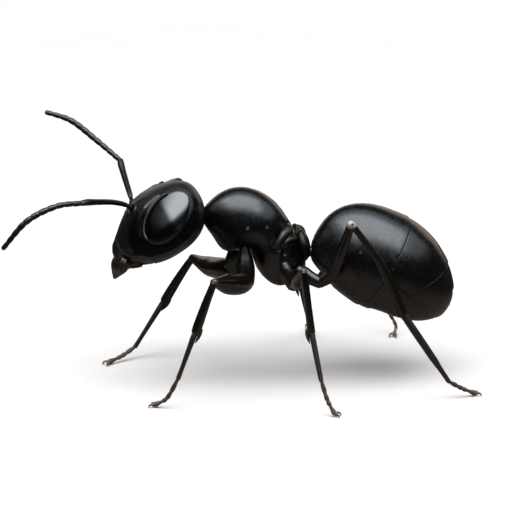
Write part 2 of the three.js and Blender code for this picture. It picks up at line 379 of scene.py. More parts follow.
def make_piece(name, part, material, nodes=()):
    """A mesh object in metres from a part. It rides on the ant and stands for CAD nodes."""
    mesh = bpy.data.meshes.new(name)
    verts = ((part["verts"] + SHIFT) * MM).astype(np.float32)
    sizes = np.concatenate([np.full(len(f), f.shape[1]) for f in part["faces"]])
    loops = np.concatenate([f.ravel() for f in part["faces"]]).astype(np.int32)
    mesh.vertices.add(len(verts))
    mesh.vertices.foreach_set("co", verts.ravel())
    mesh.loops.add(len(loops))
    mesh.loops.foreach_set("vertex_index", loops)
    mesh.polygons.add(len(sizes))
    starts = np.concatenate([[0], np.cumsum(sizes)[:-1]]).astype(np.int32)
    mesh.polygons.foreach_set("loop_start", starts)
    mesh.polygons.foreach_set("use_smooth", np.ones(len(sizes), bool))
    mesh.update(calc_edges=True)
    if "uv" in part:
        layer = mesh.uv_layers.new(name="OFBake")
        layer.data.foreach_set("uv", part["uv"][loops].astype(np.float32).ravel())
    marks = mesh.attributes.new("marks", "FLOAT_COLOR", "POINT")
    rgba = np.ones((len(verts), 4), np.float32)
    rgba[:, :3] = part["marks"]
    marks.data.foreach_set("color", rgba.ravel())
    mesh.validate()
    mesh.materials.append(material)
    piece = bpy.data.objects.new(name, mesh)
    bpy.context.scene.collection.objects.link(piece)
    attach(piece, "root")
    if nodes:
        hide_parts(*nodes)
    return piece


FINE = 400  # steps in which a way's length is measured
CAP = 0.6  # length of a limb's rounded end, as a share of its radius there
ROUND = np.linspace(0, np.pi / 2, 6)  # angles of the rows that round an end or a lip


def on_way(way, s):
    """Places at shares s of a smooth way, which is straight when it has only two places."""
    return blend(way, 2 * s - 1) if len(way) > 2 else way[0] + s[:, None] * (way[1] - way[0])


def tube(way, radii, rows, cols, ref, flat=1.0, box=2.0):
    """A closed limb along a smooth way: its grid, each row's share of the way, the angles.

    Its section at share s of the way's length is a superellipse of power `box`: 2 is round,
    more is squarer. Its radius is `radii` read at s, times `flat` across `ref`. Past each end
    of the way the radius falls to a pole as a quarter circle.
    """
    way, radii, ref = (np.asarray(v, float) for v in (way, radii, ref))
    fine = on_way(way, np.linspace(0, 1, FINE))
    run = np.concatenate([[0], np.cumsum(np.linalg.norm(np.diff(fine, axis=0), axis=1))])
    length = run[-1]
    first, last = radii[0] * CAP, radii[-1] * CAP
    total = length + first + last
    ends = 1 - np.cos(ROUND[:-1])
    inner = np.linspace(first, total - last, rows)
    d = np.concatenate([ends * first, inner, total - (ends * last)[::-1]])
    at = d - first
    inside = np.clip(at, 0, length)

    def read(values):
        return np.stack([np.interp(inside, run, values[:, i]) for i in range(3)], -1)

    tangent = unit(read(np.gradient(fine, axis=0)))
    spot = read(fine) + tangent * (at - inside)[:, None]
    n = unit(ref - (tangent @ ref)[:, None] * tangent)
    b = np.cross(tangent, n)
    size = blend(radii, 2 * inside / length - 1) * quarter(d / first) * quarter((total - d) / last)
    a = angles(cols)
    rim = (np.abs(np.cos(a)) ** box + np.abs(np.sin(a)) ** box) ** (-1 / box)
    across = (size[:, None] * rim * np.cos(a))[..., None] * n[:, None] * flat
    up = (size[:, None] * rim * np.sin(a))[..., None] * b[:, None]
    points = spot[:, None] + across + up
    points[0], points[-1] = spot[0], spot[-1]
    return points, np.clip(at / length, 0, 1), a


SEAM_ROUNDS = 30  # rounds of substitution that find a seam
SEAM_END = 0.999  # the farthest x that a seam reaches


def cut_at(form, seam, a, shift):
    """Where a leaning seam crosses a form, as x for each angle a, by repeated substitution."""
    place_, lean = seam
    half = form["length"] / 2
    x = np.full_like(a, place_)
    for _ in range(SEAM_ROUNDS):
        z = trunk(form, x, a)[..., 2]
        x = place_ + (shift + math.tan(math.radians(lean)) * z) / half
        x = np.clip(x, -SEAM_END, SEAM_END)
    return x


def seam_distance(form, seam, points):
    """How far behind a seam's plane points lie, in mm along the form."""
    place_, lean = seam[0], math.radians(seam[1])
    behind = points[..., 0] - math.tan(lean) * points[..., 2] - place_ * form["length"] / 2
    return behind * math.cos(lean)


WALLS = np.array((0.85, 0.5, 0.2, 0.0))[:, None, None]  # rings of a plate's closing wall
BRIM_START, BRIM_WIDTH = 0.01, 0.03  # where a plate's thin rear edge is brown, in mm


def plate(form, front, rear, rows, cols, shape, lip, step, gap, brim=0.5):
    """One shell plate of a form: its outer surface between two seams, with rounded lips and
    flat inner walls that close it. With no seam the form's own end closes it.

    Within `lip` of a seam the surface falls away as a quarter circle. Just ahead of its rear
    lip a plate swells by `step`, as a shell edge does where it laps over the next plate, and
    is brown by `brim`. Half of the slit between two plates is `gap`.
    """
    a = angles(cols)
    start = 0 * a if front is None else np.arccos(-cut_at(form, front, a, gap + lip))
    end = 0 * a + np.pi if rear is None else np.arccos(-cut_at(form, rear, a, -gap - lip))
    x = -np.cos(start + (end - start) * np.linspace(0, 1, rows)[:, None])
    lips = lip * (1 - np.sin(ROUND[1:]))[:, None] / (form["length"] / 2)
    if front is not None:
        x = np.vstack([cut_at(form, front, a, gap) + lips[::-1], x])
    if rear is not None:
        x = np.vstack([x, cut_at(form, rear, a, -gap) - lips])
    ring = np.broadcast_to(a, x.shape)
    points, normals = trunk(form, x, ring), trunk_normal(form, x, ring)
    rise, marks = shape(points, x, ring)
    edges = ((front, 1, -0.6 * step, 0.2, 0.0), (rear, -1, step, 0.3, brim))
    for seam, sign, swell, width, brown in edges:
        if seam is not None:
            d = sign * seam_distance(form, seam, points) - gap
            rise = rise - lip * (1 - quarter(d / lip)) + swell * mound(d, width)
            brown = brown * mound(np.maximum(d - BRIM_START, 0), BRIM_WIDTH)
            marks[..., 0] = np.maximum(marks[..., 0], brown)
    points = points + normals * rise[..., None]
    blank = np.zeros((len(WALLS), cols, 3))
    if front is not None:
        middle = points[0].mean(0)
        points = np.concatenate([(middle + (points[0] - middle) * WALLS)[::-1], points])
        marks = np.concatenate([blank, marks])
    if rear is not None:
        middle = points[-1].mean(0)
        points = np.concatenate([points, middle + (points[-1] - middle) * WALLS])
        marks = np.concatenate([marks, blank])
    return points, marks


def in_body(form, points, marks):
    """A closed part from a grid in a form's frame."""
    return closed_grid(place(form, points), marks)


# ---- head and eyes


def rotation(axis, degrees):
    """The matrix of a turn about axis 0, 1 or 2."""
    i, j = (axis + 1) % 3, (axis + 2) % 3
    matrix = np.eye(3)
    matrix[i, i] = matrix[j, j] = math.cos(math.radians(degrees))
    matrix[j, i] = math.sin(math.radians(degrees))
    matrix[i, j] = -matrix[j, i]
    return matrix


# The left eye's own axes in the head's frame, its middle and its half sizes.
EYE_AXES = rotation(0, -EYE["tilt"]) @ rotation(2, EYE["turn"]) @ rotation(1, EYE["roll"])
EYE_PLACE = np.array([EYE["along"], -EYE["out"], EYE["up"]])
EYE_RADII = np.array([EYE["length"] / 2, EYE["bulge"], EYE["height"] / 2])
EYE_SKEW = (-0.5, -0.5)  # how much lower the dome is at its rear and upper ends
# Ahead of this edge the eye's front end loses its shine: painted shade.
EYE_SHADE_EDGE = (-0.1, 0.3)  # along the eye, where its full shine begins and is reached
EYE_RIM = -0.3  # where the shell meets the eye, from the eye's mid plane at 0 to its top at -1
EYE_GAP = 0.012  # between the eye and the floor of its seat, in mm


def to_eye(points, grow=0.0):
    """Points of the head's left side in a frame where the eye is the unit ball, -Y outward."""
    return (points - EYE_PLACE) @ EYE_AXES / (EYE_RADII + grow)


def from_eye(e, grow=0.0):
    """Points from the eye's frame to the head's."""
    return EYE_PLACE + (e * (EYE_RADII + grow)) @ EYE_AXES.T


# Lines and spots on the left half of the head, in its frame.
SOCKET = (-0.22, -0.39, 1.03)
FRONTAL_RIDGE = ((-0.55, -0.2, 0.97), (-0.3, -0.17, 1.04), (0.05, -0.25, 1.07),
                 (0.45, -0.4, 1.05), (0.75, -0.47, 1.02))
FACE_RIDGE = ((0.21, -0.85, 0.84), (-0.31, -0.9, 0.75), (-0.81, -0.77, 0.62))
FACE_GROOVE = ((0.04, -0.86, 0.8), (-0.02, -0.94, 0.65), (-0.25, -1.1, 0.42),
               (-0.53, -1.26, 0.13))
FACE_PIT = (-0.48, -0.92, 0.67)
CLYPEUS_EDGE = ((-0.4, -0.42, 0.95), (-0.75, -0.55, 0.78), (-1.1, -0.62, 0.52),
                (-1.38, -0.62, 0.22))
CLYPEUS_KEEL = ((-1.7, 0, 0.4), (-1.3, 0, 0.7), (-0.8, 0, 0.92), (-0.5, 0, 1.0))
CHEEK_RIM = ((-1.36, -0.05, 0.66), (-1.43, -0.23, 0.51), (-1.52, -0.47, 0.3),
             (-1.51, -0.63, 0.06), (-1.4, -0.76, -0.13), (-1.19, -0.9, -0.26),
             (-0.95, -0.98, -0.32))
UNDER_EYE = ((-0.45, -1.3, -0.2), (0.0, -1.24, -0.42), (0.35, -1.2, -0.52),
             (0.8, -1.3, -0.55))
THROAT = ((-1.5, 0, -0.6), (0.0, 0, -1.4), (1.4, 0, -1.4))
HEAD_RELIEF = (
    (SOCKET, 0.05, 0.05, 0.19),
    (SOCKET, -0.1, 0.12, 0.0),
    (FRONTAL_RIDGE, 0.02, 0.06, 0.0),
    (FACE_RIDGE, 0.02, 0.08, 0.0),
    (FACE_GROOVE, -0.02, 0.12, 0.0),
    (FACE_PIT, -0.02, 0.13, 0.0),
    (CLYPEUS_EDGE, -0.02, 0.05, 0.0),
    (CLYPEUS_KEEL, 0.02, 0.06, 0.0),
    (UNDER_EYE, -0.035, 0.16, 0.0),
    (THROAT, -0.02, 0.04, 0.0),
)
SOCKET_SPOT = (-0.36, -0.49, 0.97)  # a paler place in front of the socket


def head_points(rows=230, cols=300):
    """The head: its plain form, raised along its normals by bells round lines and spots.

    Ahead of the cheek rim the surface steps in. Near the eye the shell is drawn out to the
    eye's rim and ends in a beaded edge; inside the rim it sinks to a floor under the eye. The
    shell round the front and lower sides of the eye has its shine taken away: painted shade,
    so that it looks dark there.
    """
    _, _, points, normals = whole(HEAD, rows, cols)
    fold = to_left(points)
    p, n = points * fold, normals * fold

    rim = distance_to(p, CHEEK_RIM)
    rim_at = np.array(CHEEK_RIM)[::-1]
    ahead = np.interp(p[..., 2], rim_at[:, 2], rim_at[:, 0]) - p[..., 0]
    flank = ramp(-0.12, -0.38, p[..., 1])
    rise = relief(p, HEAD_RELIEF)
    rise += 0.045 * mound(rim, 0.09) * flank - 0.09 * ramp(0.0, 0.12, ahead) * flank
    rise += 0.03 * ramp(-1.45, -1.75, p[..., 0]) * ramp(-0.2, 0.3, p[..., 2])

    e = to_eye(p)
    reach, theta = np.hypot(e[..., 0], e[..., 2]), np.arctan2(e[..., 2], e[..., 0])
    outer = e[..., 1] < 0.2
    pull = outer * mound(np.maximum(reach - 1, 0), 0.42) * (EYE_RIM - e[..., 1])
    p = p + pull[..., None] * EYE["bulge"] * EYE_AXES[:, 1]
    e[..., 1] += pull
    beads = 1 + 0.4 * np.cos(72 * theta)
    edge = outer * mound(reach - 1.04, 0.035)
    above, before = ramp(-0.35, 0.35, np.sin(theta + 0.3)), ramp(0.2, 0.8, -np.cos(theta))
    rise += 0.02 * edge * beads
    rise -= 0.03 * outer * mound(reach - 1.16, 0.07) * above
    rise -= 0.02 * outer * mound(reach - 1.22, 0.14) * before
    p = p + n * rise[..., None]
    grown = to_eye(p, EYE_GAP)
    reach = np.hypot(grown[..., 0], grown[..., 2])
    floor = np.sqrt(np.clip(1 - reach**2, 0, 1))
    sunk = from_eye(np.stack([grown[..., 0], floor, grown[..., 2]], -1), EYE_GAP)
    inside = outer & (np.linalg.norm(grown, axis=-1) < 1)
    p = np.where(inside[..., None], sunk, p)

    crown = 0.15 + 0.85 * ramp(-0.3, 0.5, np.sin(theta - 0.25))
    brown = np.maximum(0.35 * edge * crown, 0.3 * mound(rim, 0.06))
    brown = np.maximum(brown, 0.35 * ramp(-0.05, 0.2, ahead))
    pale = np.maximum(0.1 * edge * crown * beads, 0.1 * mound(rim, 0.07))
    pale = np.maximum(pale, 0.1 * mound(distance_to(p, SOCKET_SPOT), 0.07))
    # Painted shade: round the front and lower sides of the eye the shell loses its shine, so that
    # it looks dark.
    width = 0.35 + 0.3 * ramp(0.0, 0.6, -np.cos(theta))
    shaded_fringe = ramp(1.0, 1.04, reach) * (1 - ramp(1 + width, 1.35 + width, reach))
    shaded_fringe *= (e[..., 1] < 2.5) * ramp(-0.1, 0.4, np.maximum(-np.cos(theta), -np.sin(theta)))
    return p * fold, paint(p.shape, brown, pale, 1 - 1.9 * shaded_fringe)


def eye_points(side, rows=90, cols=128):
    """A low ellipsoid, fuller toward its front and lower ends; its front end has its shine taken
    away as painted shade.
    """
    t, a = np.linspace(0, np.pi, rows)[:, None], angles(cols)
    ball = np.stack([np.sin(t) * np.cos(a), -np.cos(t) + 0 * a, np.sin(t) * np.sin(a)], -1)
    outer = np.minimum(ball[..., 1], 0)
    ball[..., 1] += outer * (EYE_SKEW[0] * ball[..., 0] + EYE_SKEW[1] * ball[..., 2])
    dim = 1 - ramp(*EYE_SHADE_EDGE, ball[..., 0] - 0.25 * ball[..., 2])
    return from_eye(ball) * (1, -side, 1), paint(ball.shape, rough_and_shade=dim)


JAW_GROOVES = ((38, 0.14, 0.035), (78, 0.16, 0.04), (116, 0.14, 0.035))  # degrees, width, depth
JAW_SLIT = 0.012  # between each jaw's inner face and the mid plane, in mm


def jaw_points(side, rows=80, cols=96):
    """Half of the jaws' form, with a flat inner face, long grooves and a toothed front."""
    x, a, p, n = whole(JAWS, rows, cols)
    outer = ramp(-0.05, 0.25, np.sin(a))
    rise = np.zeros(x.shape)
    for degrees, width, depth in JAW_GROOVES:
        rise -= depth * mound(a - math.radians(degrees) - 0.12 * x, width)
    rise *= ramp(-0.98, -0.6, x) * (1 - ramp(0.5, 0.95, x)) * outer
    inner_edge = mound(np.sin(a), 0.35) * (1 - ramp(-0.9, -0.2, x))
    rise += 0.01 * inner_edge * np.cos(26 * x)
    p = p + n * rise[..., None]
    p[..., 1:] *= (1 - 0.42 * ramp(-0.1, -1.0, x))[..., None]
    p[..., 1] = (np.minimum(p[..., 1], 0) - JAW_SLIT) * -side
    brown = 0.45 + 0.4 * (1 - ramp(-0.95, -0.5, x)) - 4 * rise * outer
    return p, np.clip(paint(p.shape, brown, 0.12 * inner_edge, 0.6), 0, 1)


PALPS = (
    ((-4.66, -0.22, 4.62), (-4.52, -0.3, 4.57), (-4.3, -0.32, 4.62), (-4.1, -0.27, 4.72)),
    ((-4.52, -0.1, 4.55), (-4.36, -0.14, 4.54), (-4.2, -0.16, 4.58)),
)
PALP_RADII = 0.042 + 0.008 * np.cos(np.linspace(0, 8 * np.pi, 33))  # four knots


def mouth_part():
    """The folded mouthparts under the head: a keeled pad and two pairs of jointed palps."""
    x, a, p, n = whole(MOUTH, 50, 64)
    rise = -0.03 * mound(np.sin(a), 0.12) + 0.015 * np.cos(9 * x) * ramp(0, 0.5, -np.cos(a))
    parts = [in_body(MOUTH, p + n * rise[..., None], paint(p.shape, 0.5, 0.05, 0.7))]
    for way in PALPS:
        for side in (NEAR, FAR):
            path = np.array(way) * (1, -side, 1)
            grid, _, _ = tube(path, PALP_RADII, rows=60, cols=10, ref=(0, 1, 0))
            parts.append(closed_grid(grid, paint(grid.shape, 0.7, 0.1, 0.5)))
    return join(parts)


# ---- feelers


FEELER_REF = (0.2, 0.3, 1)
SCAPE = 1.1 * np.array((1.0, 0.6, 0.82, 0.88, 0.9, 0.92, 0.95, 0.98, 1.0, 1.05, 1.1, 0.95))


def scape_part(way, thick):
    """The feeler's first, long joint: a ball in the socket, a neck, then a slender club."""
    grid, s, _ = tube(way, thick * SCAPE, rows=110, cols=28, ref=FEELER_REF, flat=0.92)
    brown = 0.3 * (1 - ramp(0, 0.08, s)) + 0.4 * ramp(0.9, 1, s)
    return closed_grid(grid, paint(grid.shape, brown, 0.04 * ramp(0.96, 1, s)))


def whip_part(way, thick, joints=11):
    """The feeler's whip: joints that each widen from a neck to a rounded far end."""
    s = np.linspace(0, 1, joints * 14 + 1)
    f = (s * joints) % 1
    swell = 0.84 + 0.16 * ramp(0, 0.45, f) - 0.18 * ramp(0.9, 1.0, f)
    swell[-1] = 0.7
    taper = thick * (0.92 + 0.14 * ramp(0, 0.5, s) - 0.22 * ramp(0.6, 1.0, s))
    grid, s, _ = tube(way, swell * taper, rows=joints * 24, cols=18, ref=FEELER_REF)
    f = (s * joints) % 1
    brown = 0.15 + 0.3 * (ramp(0.88, 1, f) + 1 - ramp(0, 0.08, f))
    pale = 0.03 * (ramp(0.95, 1, f) + 1 - ramp(0, 0.04, f))
    return closed_grid(grid, paint(grid.shape, brown, pale, 0.8))


# ---- thorax, waist and gaster

# Lines and spots on the left half of the thorax, in its frame.
FLANK_STRAP = ((0.87, -0.31, 1.23), (0.7, -0.7, 0.94), (0.64, -0.88, 0.53))
REAR_FOLD = ((1.22, -0.3, 1.0), (0.99, -0.6, 0.91), (0.86, -0.74, 0.66))
REAR_HOLLOW = ((1.0, -0.76, 0.55), (1.15, -0.74, 0.2), (1.45, -0.62, -0.05))
FLANK_FOLD = ((0.9, -0.84, 0.3), (1.1, -0.78, 0.0), (1.3, -0.6, -0.3))
FLANK_SEAM = ((-0.3, -0.95, -0.1), (0.1, -0.95, 0.12), (0.45, -0.9, 0.4))
NECK_FOLD = ((-1.95, -0.2, -0.15), (-1.4, -0.62, -0.2), (-0.8, -0.75, -0.35))
SPIRACLE = (1.13, -0.74, 0.36)
GLAND = (1.32, -0.69, 0.18)
THORAX_PITS = ((-0.66, -1.06, 0.54), (-0.07, -0.99, 0.92))
THORAX_RELIEF = (
    (FLANK_STRAP, 0.05, 0.08, 0.03),
    (FLANK_STRAP, -0.03, 0.09, 0.2),
    (REAR_FOLD, 0.05, 0.08, 0.0),
    (REAR_HOLLOW, -0.05, 0.12, 0.0),
    (FLANK_FOLD, 0.05, 0.1, 0.0),
    (FLANK_SEAM, -0.015, 0.04, 0.0),
    (NECK_FOLD, -0.03, 0.09, 0.0),
    (SPIRACLE, 0.02, 0.03, 0.06),
    (SPIRACLE, -0.06, 0.045, 0.0),
    (GLAND, 0.04, 0.05, 0.06),
    (GLAND, -0.03, 0.04, 0.0),
    *((pit, -0.03, 0.035, 0.0) for pit in THORAX_PITS),
)


def thorax_shape(points, x, a):
    """Rise and marks over the thorax: straps, folds, pits and seams on both flanks."""
    p = points * to_left(points)
    strap, fold = distance_to(p, FLANK_STRAP), distance_to(p, REAR_FOLD)
    spiracle = distance_to(p, SPIRACLE)
    brown = 0.3 * mound(strap, 0.07) + 0.25 * mound(fold, 0.06)
    brown += 0.3 * ramp(-0.1, -0.6, p[..., 2]) + 0.4 * mound(spiracle, 0.1)
    pale = 0.1 * np.maximum(mound(strap, 0.07), mound(fold, 0.06))
    pale += 0.06 * mound(spiracle - 0.06, 0.025)
    # Pale rings round the pits: painted glints.
    pale += relief(p, [(pit, 0.45, 0.024, 0.04) for pit in THORAX_PITS])
    # Painted shade: the lower front of the flanks loses its shine so that it looks dark.
    rough_and_shade = -0.7 * ramp(0.6, 0.0, p[..., 2]) * ramp(0.9, 0.4, p[..., 0])
    return relief(p, THORAX_RELIEF), paint(p.shape, np.clip(brown, 0, 1), pale, rough_and_shade)


# Pale flecks on the left half of the gaster: place, paleness, radius, and 0 for a filled spot.
GASTER_FLECKS = (
    ((-0.39, -1.55, 0.89), 0.3, 0.07, 0.0),
    ((-0.34, -1.66, 0.6), 0.25, 0.05, 0.0),
    ((-0.2, -1.74, 0.29), 0.3, 0.04, 0.0),
    ((-1.46, -1.45, 0.04), 0.35, 0.045, 0.0),
)
LAP_ANGLE = 128  # degrees from the top to where the back plates end, low on each side


def gaster_shape(points, x, a):
    """Rise and marks over the gaster: the back plates lap over the belly plates low down."""
    lap = np.abs(np.where(a > np.pi, 2 * np.pi - a, a)) - math.radians(LAP_ANGLE)
    arc = lap * 1.8
    rise = -0.03 * ramp(0, 0.03, arc) + 0.012 * mound(arc + 0.05, 0.08)
    rise *= ramp(-0.95, -0.6, x)
    brown = 0.35 * ramp(0.35, 0.9, x) + 0.25 * ramp(-0.2, -1.4, points[..., 2])
    brown = np.clip(brown + 0.4 * mound(arc + 0.02, 0.04), 0, 1)
    return rise, paint(points.shape, brown, relief(points * to_left(points), GASTER_FLECKS))


STALK = ((1.45, 0, 4.86), (2.05, 0, 4.9), (2.65, 0, 4.99))
STALK_RADII = (0.19, 0.17, 0.185, 0.2, 0.2, 0.19)


def waist_part():
    """The waist: a thin upright scale on a short stalk."""
    x, _, p, _ = whole(PETIOLE, 90, 80)
    brown = 0.1 + 0.3 * ramp(-0.6, -0.98, x)
    # The scale loses most of its shine (-0.6): painted shade, so that it looks dark.
    scale = in_body(PETIOLE, p, paint(p.shape, brown, 0, -0.6))
    stalk, _, _ = tube(STALK, STALK_RADII, rows=50, cols=48, ref=(0, 1, 0))
    return join([scale, closed_grid(stalk, paint(stalk.shape, 0.3, 0.03, 0.4))])


# ---- legs

# Legs whose coxa or foot is slimmer than its pair's.
COXA_SHARE = {"right_front": 0.66, "right_hind": 0.72}
FOOT_SHARE = {"right_hind": 0.75}
# Spurs at the end of the shin: where they stand, or None for the inner side, length, radius.
SPURS = {
    "front": ((1.3, 0, 0), 0.42, 0.1),
    "middle": ((-1.15, 0, 0), 0.42, 0.1),
    "hind": (None, 0.2, 0.04),
}
SPUR_MARKS = (0.3, 0.03, 0.4)
SPINE_MARKS = (0.75, 0.12, 0.4)
SPIKE = np.array((1, 0.9, 0.7, 0.45, 0.15))
FOOT_STEPS = 120  # steps along the toes
TOE_RADII = np.array((0.06, 0.068, 0.08, 0.094, 0.1, 0.094))
LAST_TOE = np.array((0.055, 0.06, 0.068, 0.08, 0.096, 0.104))


def spike(base, tip, bow, radius, marks):
    """A curved spine from base to tip, bowed sideways at its middle."""
    way = np.array([base, (base + tip) / 2 + bow, tip])
    grid, _, _ = tube(way, radius * SPIKE, rows=14, cols=8,
                      ref=np.cross(tip - base, (0.3, 0.2, 0.9)))
    return closed_grid(grid, paint(grid.shape, *marks))


def spines(base, across, apart, ahead, wide, radius):
    """A pair of small straight spines: they start `apart` from the middle on both sides, run
    `ahead` and end `wide` from the middle."""
    return [spike(base + apart * k * across, base + ahead + wide * k * across, 0 * base,
                  radius, SPINE_MARKS) for k in (-1, 1)]


def knob_marks(grid, knee, marks):
    """Marks of the pale worn knob round a knee, with the dark pit in its outer face."""
    d = np.linalg.norm(grid - knee, axis=-1)
    pit = 1 - ramp(0.06, 0.09, np.linalg.norm(grid - knee - KNOB_PIT, axis=-1))
    marks[..., 1] = np.maximum(marks[..., 1], 1 - ramp(0.15, 0.2, d)) * (1 - pit)
    marks[..., 0] = np.maximum(marks[..., 0], pit)
    # The pit is brown, and loses its shine as painted shade.
    marks[..., 2] = np.minimum(marks[..., 2], -0.9 * pit)


def leg_frame(name):
    """A leg's places and directions: `shin` runs down the tibia, `inner` points to the inside
    of the knee, `plane` stands square to the plane in which the knee bends."""
    root, hip, knee, ankle, heel, toe = (np.array(p, float) for p in LEGS[name])
    bends = BENDS.get(name, {})
    shin = unit(ankle - knee)
    middle = (heel + toe) / 2
    middle[2] = max(middle[2] - 0.16, 0.1)
    (middle,) = bends.get("toes", (middle,))
    return SimpleNamespace(
        name=name, pair=name.split("_")[1], root=root, hip=hip, knee=knee, ankle=ankle,
        heel=heel, toe=toe, bends=bends, shin=shin, plane=unit(np.cross(knee - hip, shin)),
        inner=unit((hip - knee) - ((hip - knee) @ shin) * shin),
        foot=blend(np.array([heel, middle, toe]), np.linspace(-1, 1, FOOT_STEPS + 1)),
    )


def coxa_parts(leg):
    """The coxa: a short stub, browner at its far end."""
    radii = COXA_SHARE.get(leg.name, 1.0) * np.array(COXA[leg.pair])
    way = (leg.root, (leg.root + leg.hip) / 2 + 0.04 * leg.inner, leg.hip)
    grid, s, _ = tube(way, radii, rows=60, cols=40, ref=leg.plane, flat=0.92)
    brown = 0.06 + 0.3 * (leg.pair != "front") * ramp(0.85, 1, s)
    return [closed_grid(grid, paint(grid.shape, brown))]


def femur_parts(leg):
    """The trochanter and the femur: flattened, with a long shallow crease on each flat side."""
    front = leg.pair == "front"
    upper = np.cross(unit(leg.knee - leg.hip), leg.plane)
    upper = unit(upper) * np.sign(upper @ -leg.inner + 1e-9)
    arch = leg.hip + (leg.knee - leg.hip) * 0.4 + 0.05 * upper
    way = (leg.hip, *leg.bends.get("femur", (arch,)), leg.knee)
    flat, box = (0.96, 2.0) if front else (0.84, 2.35)
    grid, s, a = tube(way, FEMUR[leg.pair], rows=130, cols=40, ref=leg.plane, flat=flat, box=box)
    crease = (0.04 if front else 0.12) * ramp(0.3, 0.5, s) * (1 - ramp(0.93, 1, s))
    crease = crease[:, None] * mound(np.abs(np.cos(a)) - 1, 0.05)
    grid = grid - (grid - grid.mean(1, keepdims=True)) * crease[..., None]
    root = (0.03 if front else 0.15) * (1 - ramp(0.1, 0.2, s))
    # The middle femurs lose most of their shine short of the knee: painted shade, so that they
    # look dark.
    marks = paint(grid.shape, 0.05 + 0.4 * ramp(0.93, 0.99, s) + root,
                  0.04 * ramp(0.975, 0.99, s),
                  -0.25 - 0.55 * (1 - ramp(0.85, 0.95, s)) * (leg.pair == "middle"))
    if leg.name == "left_hind":
        knob_marks(grid, leg.knee, marks)
    return [closed_grid(grid, marks)]


def tibia_parts(leg):
    """The tibia: four-sided, with a long spur and three spines at its end."""
    shin, inner, end = leg.shin, leg.inner, leg.ankle + 0.03 * leg.shin
    start = leg.knee + 0.02 * shin
    arch = start + (leg.ankle - start) * 0.45 - 0.035 * inner
    way = (start, *leg.bends.get("tibia", (arch,)), leg.ankle)
    grid, s, a = tube(way, TIBIA[leg.pair], rows=90, cols=32, ref=leg.plane, flat=0.86, box=3.0)
    ends = ramp(0.93, 1, s) + 1 - ramp(0, 0.05, s)
    ridges = mound(np.abs(np.sin(2 * a)) - 1, 0.08)
    marks = paint(grid.shape, 0.06 + 0.3 * ends[:, None] + 0.1 * ridges, 0, -0.25)
    if leg.name == "left_hind":
        knob_marks(grid, leg.knee, marks)
    side, length, radius = SPURS[leg.pair]
    side = inner if side is None else np.array(side)
    return [
        closed_grid(grid, marks),
        spike(end + 0.1 * side - 0.1 * shin, end + length * shin + 0.1 * side, 0.03 * side,
              radius, SPUR_MARKS),
        spike(end - 0.1 * inner, end + 0.13 * shin - 0.17 * inner, 0.01 * inner, 0.03,
              SPINE_MARKS),
        *spines(end, leg.plane, 0.1, 0.15 * shin, 0.13, 0.02),
    ]


def basitarsus_parts(leg, thin):
    """The first and longest joint of the foot, with a pair of spines at its end."""
    way = (leg.ankle - 0.04 * leg.inner, leg.heel)
    grid, s, _ = tube(way, thin * np.array(BASITARSUS[leg.pair]), rows=60, cols=24,
                      ref=leg.plane, flat=0.9, box=2.6)
    brown = 0.1 + 0.3 * ramp(0.85, 1, s) + 0.2 * (1 - ramp(0, 0.06, s))
    stroke = unit(leg.heel - leg.ankle)
    return [closed_grid(grid, paint(grid.shape, brown, 0.08 * ramp(0.96, 1, s), 0.7)),
            *spines(leg.heel, leg.plane, 0.05, 0.1 * stroke, 0.09, 0.014)]


def toe_parts(leg, thin):
    """The four short joints of the foot, the first three with a pair of spines each."""
    cuts = np.concatenate([[0], np.cumsum(TOE_SHARES)]) * FOOT_STEPS
    parts = []
    for i in range(4):
        stretch = leg.foot[int(cuts[i]) : int(cuts[i + 1]) + 1 : 4]
        radii = thin * (LAST_TOE if i == 3 else 0.9 * TOE_RADII)
        grid, s, _ = tube(stretch, radii, rows=22, cols=20, ref=leg.plane, flat=0.95)
        brown = 0.5 + 0.1 * i + 0.2 * ramp(0.7, 1, s)
        pale = 0.05 + 0.05 * i + 0.15 * ramp(0.85, 1, s)
        parts.append(closed_grid(grid, paint(grid.shape, brown, pale, 0.8)))
        if i < 3:
            to = unit(stretch[-1] - stretch[0])
            parts += spines(stretch[-1], leg.plane, 0.05, 0.07 * to, 0.08, 0.013)
    return parts


def claw_parts(leg):
    """Two hooked claws that touch the floor, and the pad between them."""
    ahead = unit((leg.toe - leg.foot[-FOOT_STEPS // 4]) * (1, 1, 0.0))
    across = np.cross((0, 0, 1), ahead)
    up = np.array((0, 0, 1.0))
    parts = []
    for k in (-1, 1):
        base = leg.toe + 0.03 * k * across + 0.02 * ahead
        out = base + 0.1 * ahead + 0.07 * k * across + 0.015 * up
        bend = out + 0.07 * ahead + 0.03 * k * across - 0.045 * up
        tip = np.append((bend + 0.03 * ahead)[:2], 0.012)
        grid, s, _ = tube((base, out, bend, tip), (0.046, 0.044, 0.038, 0.028, 0.012), rows=30,
                          cols=12, ref=across)
        parts.append(closed_grid(grid, paint(grid.shape, 1, 0.5 * (1 - ramp(0.3, 0.9, s)))))
    pad, _, _ = tube((leg.toe - 0.02 * ahead, leg.toe + 0.1 * ahead - 0.04 * up),
                     (0.05, 0.06, 0.045), rows=14, cols=16, ref=across)
    return [*parts, closed_grid(pad, paint(pad.shape, 0.8, 0.45, 0.9))]


def leg_parts(name, thin):
    """The parts of one leg, by name; `thin` is the thickness of its foot."""
    leg = leg_frame(name)
    thin = thin * FOOT_SHARE.get(name, 1.0)
    return {"coxa": coxa_parts(leg), "femur": femur_parts(leg), "tibia": tibia_parts(leg),
            "basitarsus": basitarsus_parts(leg, thin), "toes": toe_parts(leg, thin),
            "claws": claw_parts(leg)}


# ---- bristles

RINGS = np.array((0.0, 0.35, 0.7))  # shares of a bristle's length at its three rings
TIP = 3 * len(RINGS)  # the number of a bristle's tip, after three corners on each ring
LENGTHS = (0.6, 1.2)  # shortest and longest bristle, as shares of the length asked for
BEND = 0.45  # how far a bristle's tip sways aside, as a share of its length
UV_PATCH = 0.003  # side of one bristle's square in the bake map
UV_GRID = 12  # squares for limbs along each side of the bake map


